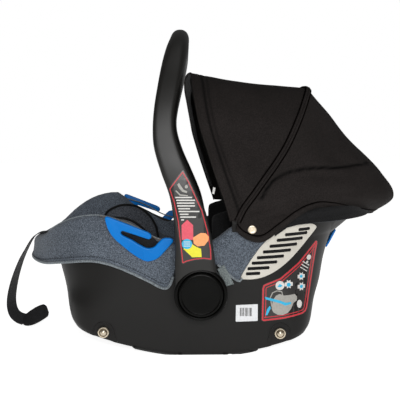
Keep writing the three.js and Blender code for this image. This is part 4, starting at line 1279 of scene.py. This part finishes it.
def turned(name, outline, at, s, base, material, body, stands_for=(), steps=64):
    """A turned piece: (radius, height) points spun about a line along Y, standing out from base."""
    mesh = bpy.data.meshes.new(name)
    points = [((at[0] + r) / 1000, s * (base + h) / 1000, at[1] / 1000) for r, h in outline]
    mesh.from_pydata(points, [(i, i + 1) for i in range(len(points) - 1)], [])
    obj = new_object(name, mesh)
    edit(obj, (bpy.ops.mesh.spin, dict(steps=steps, angle=2 * math.pi,
                                       center=(at[0] / 1000, 0, at[1] / 1000), axis=(0, 1, 0))),
         (bpy.ops.mesh.select_all, dict(action="SELECT")),
         (bpy.ops.mesh.remove_doubles, dict(threshold=2e-6)),
         (bpy.ops.mesh.normals_make_consistent, dict(inside=False)))
    smooth(obj, 32)
    return finished(obj, material, body, stands_for)


HUB_RING = [(0, 0), (43, 0), (43, 18.5), (42.4, 20.4), (41.2, 21.6), (39.6, 22), (37.8, 21.2),
            (36.9, 19.6), (36.6, 16), (36.5, 4.4), (0, 4.4)]
HUB_CAP = [(0, 0), (35.7, 0), (36.0, 6.5), (35.4, 8.2), (34.2, 9.3), (32.6, 9.6), (31.6, 9.2),
           (30.9, 8.3), (29.9, 8.0), (22, 8.4), (12, 8.6), (0, 8.7)]
for side, s in SIDES:
    turned("hub_housing_" + side, HUB_RING, HUB, s, 191.9, hub_plastic, "handle")
    turned("hub_release_" + side, HUB_CAP, HUB, s, 206.4, hub_plastic, "hub_button_" + side,
           ["hub_button_" + side])
print("handle", len(handle.data.polygons), "faces")

# %% Refined copies of moulded parts
def refined(node_name, name, bevel, material, body, segments=2, angle=40):
    """A copy of a CAD part with its doubles merged, flat faces joined and edges rounded."""
    source = bpy.data.objects[node_name] if node_name in bpy.data.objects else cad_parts[node_name]
    obj = new_object(name, source.data.copy())
    edit(obj, (bpy.ops.mesh.remove_doubles, dict(threshold=2e-6)),
         (bpy.ops.mesh.dissolve_limited, dict(angle_limit=math.radians(1.5))))
    if bevel:
        apply(obj, "BEVEL", width=bevel / 1000, segments=segments, limit_method="ANGLE",
              angle_limit=math.radians(35), use_clamp_overlap=True)
    smooth(obj, angle)
    return finished(obj, material, body, [node_name])


for side, s in SIDES:
    refined("hub_base_" + side, "hub_base_ring_" + side, 1.2, tub_plastic, "shell")
    refined("canopy_bracket_" + side, "bow_bracket_" + side, 0.8, tub_plastic, "shell")
rear_guide = refined("rear_belt_guide", "rear_guide_strip", 0.8, blue_plastic, "shell")
for v in rear_guide.data.vertices:       # the strip bows out from the tub at its middle
    v.co += Vector((3.0, 0, -2.0)) / 1000 * (1 - (v.co.y / 0.034) ** 2)
refined("canopy_front_bow", "front_bow", 0.5, tub_plastic, "canopy_front")
refined("canopy_mid_bow", "mid_bow", 0.5, tub_plastic, "canopy_mid")
refined("adjuster_housing", "adjuster_case", 1.2, tub_plastic, "shell")
refined("adjuster_button", "adjuster_press", 1.0, handle_plastic, "adjuster_button")
refined("buckle_body", "buckle_case", 2.6, tub_plastic, "shell", segments=4)
refined("buckle_button", "buckle_press", 1.2, red_plastic, "buckle_button", segments=3)
for side, s in SIDES:
    refined("buckle_tongue_" + side, "buckle_tongue_plate_" + side, 0.6, nickel, "shell")
print("moulded parts ready")

# %% [markdown]
# ## Belt guides and vents
# The belt guides are thick gloss hooks in bright blue. The outline is drawn smooth, pushed to its
# thickness and given a generous round. The vents are warm grey leaves that follow the tub's side.

# %% Belt guides
GUIDE_OUTLINE = [
    (-183, 232), (-180, 232.4), (-176, 231.6), (-140, 217.4), (-114, 207), (-110, 204.4),
    (-108, 201), (-108.8, 197), (-112, 195), (-116, 195.8), (-150, 207.4), (-155, 209),
    (-157.5, 208), (-157.6, 205), (-155, 202), (-139, 194), (-130, 188), (-122, 183.5),
    (-117, 181.2), (-112, 180.5), (-107, 181.4), (-103, 183.5), (-94, 193), (-90, 196.4),
    (-85, 197.6), (-78, 197.4), (-74.4, 196), (-72.6, 193.4), (-73.4, 190), (-94, 167),
    (-101, 162), (-108, 159.6), (-114.5, 158.4), (-121, 160), (-131, 165.4), (-142, 173),
    (-154, 183), (-166, 193.5), (-174, 203), (-179, 212), (-182.4, 223), (-183.6, 229.6)]
# The slot is dark inside: a black plate behind the near hook's slot is painted shade.
SLOT_SHADE = [(-158, 207), (-112, 195.5), (-106, 198), (-100, 192), (-96, 190), (-103, 183),
              (-112, 180), (-122, 183), (-139, 193), (-156, 202)]
for side, s in SIDES:
    inner, outer = s * (SHELL_HALF + 5.3), s * (SHELL_HALF + 13)
    guide = plate("belt_hook_" + side, GUIDE_OUTLINE, min(inner, outer), max(inner, outer),
                  bevel=2.4, segments=5)
    if s < 0:
        # Painted shade: a black plate in the near hook's slot only.
        shade = plate("belt_slot_painted_shade", SLOT_SHADE, -SHELL_HALF - 6.4, -SHELL_HALF - 5.6)
        finished(shade, black_cloth, "shell")
    else:                                 # its clip sits on the fuller padding of that side
        guide.data.transform(Matrix.Translation((0.002, 0, 0.005)))
    finished(guide, blue_plastic, "shell", ["belt_guide_" + side])
print("guides ready")

# %% Vents
VENT_SLOTS = [
    (145, 207.4, 9.5), (131, 200.3, 19), (120, 191.7, 22), (109, 182.2, 23), (98, 173, 23),
    (87, 163.6, 22), (77, 154.5, 20.5), (67, 145.4, 17.5), (58, 136.6, 11)]


def slot_outline(x, z, half, w=2.7, lean=0.04):
    left, right = (x - half, z - half * lean), (x + half, z + half * lean)
    return [(left[0], left[1] - w), (right[0], right[1] - w), (right[0] + 1.2, right[1]),
            (right[0], right[1] + w), (left[0], left[1] + w), (left[0] - 1.2, left[1])]


def strips(obj, gap, axis):
    """Cuts flat faces across at even places, so they can bend."""
    lows = [min(v.co[axis] for v in obj.data.vertices), max(v.co[axis] for v in obj.data.vertices)]
    normal = Vector((0, 0, 0))
    normal[axis] = 1
    bm = bmesh.new()
    bm.from_mesh(obj.data)
    at = lows[0] + gap / 1000
    while at < lows[1]:
        point = Vector((0, 0, 0))
        point[axis] = at
        bmesh.ops.bisect_plane(bm, geom=bm.verts[:] + bm.edges[:] + bm.faces[:], plane_co=point,
                               plane_no=normal)
        at += gap / 1000
    bm.to_mesh(obj.data)
    bm.free()


for side, s in SIDES:
    leaf = plate("vent_leaf_" + side, VENT_OUTLINE, 0.0, 3.0, bevel=0, steps=3)
    for k, (x, z, half) in enumerate(VENT_SLOTS):
        cutter = plate("slot_cutter", slot_outline(x, z, half), -5, 9)
        apply(leaf, "BOOLEAN", operation="DIFFERENCE", object=cutter, solver="EXACT")
        bpy.data.objects.remove(cutter)
    apply(leaf, "BEVEL", width=0.0007, segments=2, limit_method="ANGLE",
          angle_limit=math.radians(50))
    strips(leaf, 7, 0)
    for v in leaf.data.vertices:
        x, z = v.co.x * 1000, v.co.z * 1000
        wall = abs(tub_side(x, min(z, rim_z(x) - 9), s) or SHELL_HALF)
        v.co.y = s * (wall + 0.8 + v.co.y * 1000) / 1000
    if s < 0:
        leaf.data.flip_normals()
    outward(leaf)
    smooth(leaf, 40)
    finished(leaf, vent_plastic, "shell", ["vent_grille_" + side])
    back = plate("vent_back_" + side, [(centre[0] + (x - centre[0]) * 0.93,
                                        centre[1] + (z - centre[1]) * 0.93)
                                       for x, z in VENT_OUTLINE], 0.0, 0.5, steps=2)
    strips(back, 7, 0)
    for v in back.data.vertices:
        x, z = v.co.x * 1000, v.co.z * 1000
        wall = abs(tub_side(x, min(z, rim_z(x) - 9), s) or SHELL_HALF)
        v.co.y = s * (wall + 0.25 + v.co.y * 1000) / 1000
    outward(back)
    finished(back, black_cloth, "shell")
print("vents ready")

# %% [markdown]
# ## Nuts, washers, snaps and tabs
# The domed nuts are turned and plated, with a flat rim and a dome. Each sits in a cup washer.

# %% Domed nuts and snaps
NUT = [(0, 0), (6.0, 0), (6.1, 0.8), (5.7, 1.9), (4.7, 3.2), (3.3, 4.2), (1.7, 4.8), (0, 5)]
CUP = [(6.6, 0), (6.6, 1.5), (7.1, 2.2), (8.2, 2.3), (9.1, 1.7), (9.4, 0), (6.6, 0)]
SNAP = [(0, 0), (6.9, 0), (7.0, 0.4), (6.4, 0.9), (5.4, 1.1), (4.6, 0.9), (3.8, 0.8), (0, 1.0)]
for end, at in (("front", ROD_FRONT), ("rear", ROD_REAR)):
    for side, s in SIDES:
        turned("domed_nut_%s_%s" % (end, side), NUT, at, s, ROD_SEAT + 2.6, nickel, "shell",
               ["rod_cap_%s_%s" % (end, side)], steps=40)
        turned("cup_%s_%s" % (end, side), CUP, at, s, ROD_SEAT + 2.2, nickel, "shell",
               ["cup_washer_%s_%s" % (end, side)], steps=40)
rear_side = side_reader(canopy_sheets[1])
for side, s in SIDES:
    wall = abs(rear_side(55, 211, s) or CANOPY_HALF)
    turned("snap_" + side, SNAP, (55, 211), s, wall - 0.3, nickel, "shell",
           ["snap_button_" + side], steps=36)
    tab = plate("elastic_strip_" + side, [(-1, 144.5), (4.5, 148.5), (10, 152), (18, 137),
                                          (26.5, 120), (20, 118), (13.5, 116), (6, 131)],
                min(s * 181.6, s * 183.2), max(s * 181.6, s * 183.2), bevel=0.5)
    wrap_uv(tab)
    finished(tab, elastic, "shell", ["elastic_tab_" + side])
print("nuts and snaps ready")

# %% [markdown]
# ## Harness
# The shoulder straps are flat webbing with soft pads over the chest. They lie on the insert and
# meet at the buckle, whose red button is the brightest point inside the seat.

# %% Straps and pads
PAD_TOP = 11 + 6.7 + 33
BUCKLE_X = -112


def strap_z(x):
    return seat_line(x) + PAD_TOP


for side, s in SIDES:
    across = through([(BUCKLE_X, s * 13), (-60, s * 24), (0, s * 36), (120, s * 42)])
    stations = [mix(-86, 128, i / 14) for i in range(15)]
    route = [(x, across(x), strap_z(x) + 4.2, 0) for x in stations]
    belt, _ = strap("shoulder_belt_" + side, route, [12.5] * 15, 1.6, steps=3)
    finished(belt, webbing, "shell", ["shoulder_strap_" + side])
    pad_route = [(x, across(x), strap_z(x) + 9.8, 0) for x in (-30, -15, 0, 20, 40, 60, 84)]
    pad, _ = strap("chest_pad_" + side, pad_route, [21, 23, 23, 23, 23, 22.5, 20], 7.5, steps=3)
    swell(pad, 3.2, 4.0, 2.5, frames=10)
    finished(pad, black_cloth, "shell", ["shoulder_pad_" + side])
crotch_pad = plate("buckle_pad", [(BUCKLE_X - 38, 0), (BUCKLE_X - 15, 0), (BUCKLE_X - 15, 7),
                                  (BUCKLE_X - 38, 7)], -22, 22)
for v in crotch_pad.data.vertices:
    v.co.z += (strap_z(BUCKLE_X) + 3.5) / 1000
swell(crotch_pad, 2.6, 3.0, 2, frames=8)
finished(crotch_pad, black_cloth, "shell", ["crotch_pad"])
print("harness ready")

# %% [markdown]
# ## Stickers
# Stickers are printed vinyl, far thinner than a layer of paint on the tub. Each ink is its own
# thin piece, laid on the surface under it by reading how far that surface stands out.

# %% Laying a sticker on a curved side
def sticker(name, shapes, material, read, lift, body, gap=9, s=-1):
    """Flat shapes in X and Z, laid on a side. read gives the side's Y."""
    bm = bmesh.new()
    for outline in shapes:
        face = bm.faces.new([bm.verts.new((x / 1000, 0, z / 1000)) for x, z in outline])
        if face.normal.y > 0 or face.calc_area() == 0:
            face.normal_update()
            if face.normal.y > 0:
                face.normal_flip()
    bmesh.ops.triangulate(bm, faces=bm.faces[:], ngon_method="EAR_CLIP")
    mesh = bpy.data.meshes.new(name)
    bm.to_mesh(mesh)
    bm.free()
    obj = new_object(name, mesh)
    strips(obj, gap, 2)
    strips(obj, gap, 0)
    last = -190.0
    for v in obj.data.vertices:
        y = read(v.co.x * 1000, v.co.z * 1000, s)
        last = y if y is not None else last
        v.co.y = (last + s * lift) / 1000
    bm = bmesh.new()
    bm.from_mesh(obj.data)
    bmesh.ops.recalc_face_normals(bm, faces=bm.faces)
    for f in bm.faces:
        if f.normal.y * s < 0:
            f.normal_flip()
    bm.to_mesh(obj.data)
    bm.free()
    apply(obj, "SOLIDIFY", thickness=0.00016, offset=-1.0)
    return finished(obj, material, body)


def inset(outline, d):
    """The outline moved inwards by d, for shapes that bulge outwards."""
    out, n = [], len(outline)
    area = sum(outline[i - 1][0] * outline[i][1] - outline[i][0] * outline[i - 1][1]
               for i in range(n))
    sign = 1 if area > 0 else -1
    for i in range(n):
        p, a, b = Vector(outline[i]), Vector(outline[i - 1]), Vector(outline[(i + 1) % n])
        e1, e2 = (p - a).normalized(), (b - p).normalized()
        n1, n2 = Vector((-e1.y, e1.x)) * sign, Vector((-e2.y, e2.x)) * sign
        m = (n1 + n2).normalized()
        out.append(tuple(p + m * d / max(m.dot(n1), 0.35)))
    return out


def frame_line(outline, d0, d1):
    """A closed line as four-sided pieces between two insets."""
    a, b = inset(outline, d0), inset(outline, d1)
    n = len(outline)
    return [[a[i], a[(i + 1) % n], b[(i + 1) % n], b[i]] for i in range(n)]


def bar(x0, x1, z, w):
    return [(x0, z - w / 2), (x1, z - w / 2), (x1, z + w / 2), (x0, z + w / 2)]


def round_shape(x, z, r, n=24, squash=1.0):
    return [(x + r * math.cos(2 * math.pi * i / n), z + r * squash * math.sin(2 * math.pi * i / n))
            for i in range(n)]

# %% [markdown]
# The arm's sticker is a black pointed panel with a thin red line, plain bars in place of words,
# and a few coloured arrows. The tub's sticker is a four-sided panel with a double red line and
# simple shapes. Nothing on them can be read.

# %% The arm's sticker
ARM_PANEL = [(-56.8, 309), (-60.8, 304.5), (-78.9, 281), (-79.6, 277.5), (-72.7, 256.8),
             (-66.5, 226.6), (-63.4, 197.8), (-60.6, 172.0), (-59.6, 160.5), (-57.2, 158.6),
             (-50.7, 161.8), (-38.0, 164.8), (-23.6, 166.2), (-12.2, 164.4), (-10.4, 166),
             (-10.9, 181.5), (-15.7, 210.4), (-25.2, 245.6), (-36.3, 269.5), (-45.8, 290.1)]
sticker("arm_panel_film", [ARM_PANEL], film_black, arm_side, 0.12, "handle")
sticker("arm_panel_line", frame_line(ARM_PANEL, 1.4, 2.9), ink_red, arm_side, 0.26, "handle")
lines = [(-71.1, -42.6), (-69.5, -37.9), (-68.7, -38.7), (-68.0, -37.9), (-66.4, -45.8),
        (-65.6, -30.8), (-64.0, -48.2), (-63.3, -36.3), (-61.7, -55.4)]
sticker("arm_panel_bars", [bar(x0 + 2, x1, 265.5 - 4.45 * k, 2.0)
                           for k, (x0, x1) in enumerate(lines)],
        ink_white, arm_side, 0.26, "handle")
child = [round_shape(-51.5, 282.5, 2.6), [(-66, 286), (-63, 288.5), (-60, 284), (-56, 278),
                                          (-50, 275), (-51, 272.5), (-58, 274.5), (-63, 280)],
         [(-69, 276), (-67.5, 277), (-61, 270.5), (-49, 269), (-49, 267.5), (-62, 268.5)]]
sticker("arm_panel_child", child, ink_grey, arm_side, 0.26, "handle")
sticker("arm_arrow_up", [[(-50.2, 230), (-41.0, 221.5), (-40.6, 198), (-58.9, 198),
                          (-59.2, 221.5)]], ink_pink, arm_side, 0.26, "handle")
sticker("arm_arrow_side", [[(-41.1, 201.5), (-29, 209), (-21, 208.5), (-15.9, 203), (-16.4, 197),
                            (-23, 188.5), (-34, 187.5), (-40, 192)]], ink_orange, arm_side, 0.34,
        "handle")
sticker("arm_arrow_down", [[(-44, 192), (-36.5, 187), (-28.4, 183.5), (-27.2, 170.2),
                            (-42.4, 170), (-56.5, 183.5), (-50, 190)]], ink_yellow, arm_side, 0.42,
        "handle")
sticker("arm_dot", [round_shape(-50.7, 191.3, 8.2, 32)], ink_azure, arm_side, 0.5, "handle")
sticker("arm_dot_bars", [bar(-56, -45.6, z, 1.2) for z in (194.6, 191.3, 188)], ink_white,
        arm_side, 0.58, "handle")
print("arm sticker ready")

# %% The tub's stickers
TUB_PANEL = [(170.8, 184.5), (172.8, 182.5), (173, 178), (152.5, 73.5), (149.5, 68), (143.4, 64.6),
             (110, 58.6), (76.2, 55), (72.6, 57), (72.4, 61.4), (73.2, 111), (75, 116.5),
             (78.1, 118.6), (102.9, 127.8), (135.7, 152.1), (168, 184.4)]
sticker("tub_panel_film", [TUB_PANEL], film_black, tub_side, 0.12, "shell")
sticker("tub_panel_line", frame_line(TUB_PANEL, 0.9, 3.6), ink_red, tub_side, 0.26, "shell")
sticker("tub_panel_inner_line", frame_line(TUB_PANEL, 6.2, 7.5), ink_red, tub_side, 0.26, "shell")
sticker("tub_disc", [round_shape(103.5, 115, 7.6, 28)], ink_white, tub_side, 0.26, "shell")
sticker("tub_disc_mark", [[(99, 113), (103, 118), (108, 114.5), (103.5, 112)]], ink_azure, tub_side,
        0.34, "shell")


def star(x, z, r, n=8):
    return [(x + (r if i % 2 else r * 0.62) * math.cos(math.pi * i / n),
             z + (r if i % 2 else r * 0.62) * math.sin(math.pi * i / n)) for i in range(2 * n)]


sticker("tub_marks", [star(118.5, 116.5, 7.8), star(141, 127.5, 7.2), star(141.2, 110.6, 7.4),
                      round_shape(155.8, 157.4, 4.4), round_shape(152.6, 149.8, 2.0, 16),
                      round_shape(137.2, 82.5, 4.4, 20, 1.5)],
        ink_white, tub_side, 0.26, "shell")
sticker("tub_marks_core", [round_shape(118.5, 115.4, 3.4, 20), round_shape(141, 127.5, 2.6, 16),
                           round_shape(141.2, 110.6, 2.8, 16)], ink_azure, tub_side, 0.34, "shell")
slanted = []
for k in range(3):
    x, z = 139.2 + k * 2.2, 142.2 + k * 4.6
    slanted.append([(x, z), (x + 12.4, z - 8.2), (x + 13.2, z - 6.9), (x + 0.8, z + 1.3)])
sticker("tub_panel_bars", slanted, ink_white, tub_side, 0.26, "shell")
sticker("tub_seat_shape", [[(92, 92), (97, 98.5), (103.1, 101), (111, 98), (119.8, 98.5),
                            (129, 99.5), (133, 95), (132.5, 88.5), (127, 85.5), (123.2, 83.1),
                            (122.2, 75.2), (116.5, 68.8), (108, 65.8), (100.1, 66.3),
                            (92.5, 70.5), (89.6, 76.8), (90.8, 86.6)]],
        ink_grey, tub_side, 0.26, "shell")
sticker("tub_seat_handle", frame_line([(89, 80), (86.6, 96), (90.5, 104), (98.4, 107.2),
                                       (107, 105.4), (109, 99), (101, 90)], 0, 1.6), ink_grey,
        tub_side, 0.34, "shell")
sticker("tub_belt_shape", [[(78.3, 96.9), (79.6, 92.6), (106.6, 84.4), (112.5, 81.2),
                            (121.8, 83.4), (122.6, 86.8), (113, 86.2), (103.2, 90.2)]], ink_azure,
        tub_side, 0.42, "shell")
sticker("tub_belt_low", [[(79.5, 66), (82.6, 66), (88.3, 78), (86.6, 82), (82, 76)]], ink_azure,
        tub_side, 0.26, "shell")
sticker("tub_white_label", [[(30.3, 83.2), (65.6, 84.6), (66.4, 83.8), (66.6, 57), (65.8, 56.2),
                             (31, 55.2), (30, 56)]], paper, tub_side, 0.14, "shell")
bars = [(37 + 2.1 * k, w) for k, w in enumerate((1.3, 0.7, 1.5, 0.6, 1.1, 1.4, 0.6, 1.0, 1.5, 0.7))]
sticker("tub_white_label_bars", [[(x, 78.6), (x + w, 78.6), (x + w, 64.6), (x, 64.6)]
                                 for x, w in bars], film_black, tub_side, 0.24, "shell")
print("tub stickers ready")

# %% Folded tag on the canopy's edge
tag = plate("folded_tag", [(-9.5, 268.5), (-6, 267.5), (-4, 278), (-8, 279.4)], -179.2, -177.8,
            bevel=0.4)
wrap_uv(tag)
finished(tag, tag_cloth, "canopy_front")
print("tag ready")

# %% [markdown]
# ## Parts that keep their CAD shape
# Axles, rods and the yoke are turned or pressed steel and need only their finish; the bucket and
# the foam get theirs the same way. The springs, the strap at the buckle and the grip are made anew.

# %% Finishes on CAD parts
KEPT = {"seat_bucket": tub_plastic, "foam_liner": bead_foam, "front_cross_rod": nickel,
        "rear_cross_rod": nickel, "harness_yoke": nickel}
for side, s in SIDES:
    KEPT["handle_axle_" + side] = nickel
    KEPT["lock_plate_" + side] = nickel
for name, material in KEPT.items():
    obj = bpy.data.objects.get(name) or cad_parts[name]
    for spot in obj.material_slots:
        spot.material = material
    if not obj.material_slots:
        obj.data.materials.append(material)

# %% [markdown]
# Behind each lock plate a wire spring pushes the release button out again. It is a short coil
# with few turns, so it can close almost flat.

# %% Release springs
COIL_RADIUS, WIRE, TURNS = 18.0, 0.7, 2.5
for side, s in SIDES:
    ends = [corner[1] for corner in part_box("button_spring_" + side)]
    inner, outer = sorted(ends, key=abs)
    rows = []
    for k in range(121):
        turn = 2 * math.pi * TURNS * k / 120
        radial = Vector((math.cos(turn), 0, math.sin(turn)))
        y = mix(inner * 1000 + s * WIRE, outer * 1000 - s * WIRE, k / 120)
        rows.append([Vector((HUB[0], y, HUB[1])) + radial * (COIL_RADIUS + WIRE * math.cos(q))
                     + Vector((0, WIRE * math.sin(q), 0))
                     for q in [2 * math.pi * i / 8 for i in range(8)]])
    coil = skin("release_spring_" + side, rows, around=True, caps=True)
    outward(coil)
    smooth(coil, 60)
    finished(coil, spring_wire, "handle", ["button_spring_" + side])
    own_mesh(coil)
print("springs ready")

# %% Web, grip and finish
crotch, _ = strap("crotch_web", [(BUCKLE_X - 9, 0, strap_z(BUCKLE_X) + z, 0)
                                 for z in (-1, 1, 3, 4, 5.6)], [12.5] * 5, 1.6, steps=2)
finished(crotch, webbing, "shell", ["crotch_strap"])
# The pad is glued under the crossbar, so its top is set just inside the bar's own underside.
GRIP_HALF, GRIP_X, GRIP_SUNK = 52, -61, 0.9
bar_tree = BVHTree.FromObject(handle, bpy.context.evaluated_depsgraph_get())
grip_rows = []
for k in range(25):
    y = mix(-GRIP_HALF, GRIP_HALF, k / 24)
    under = bar_tree.ray_cast(Vector((GRIP_X, y, 450)) / 1000, Vector((0, 0, 1)))[0].z * 1000
    w = 9.6 * math.sqrt(max(1 - abs(y / (GRIP_HALF + 0.5)) ** 6, 0.02))
    grip_rows.append([Vector((GRIP_X + w * math.cos(q), y, under + GRIP_SUNK - 2.4 + 2.4 * math.sin(q)))
                      for q in [2 * math.pi * i / 16 for i in range(16)]])
grip = skin("crossbar_grip", grip_rows, around=True, caps=True)
outward(grip)
smooth(grip, 60)
finished(grip, black_cloth, "handle", ["handle_grip"])
print("kept parts", len(KEPT))
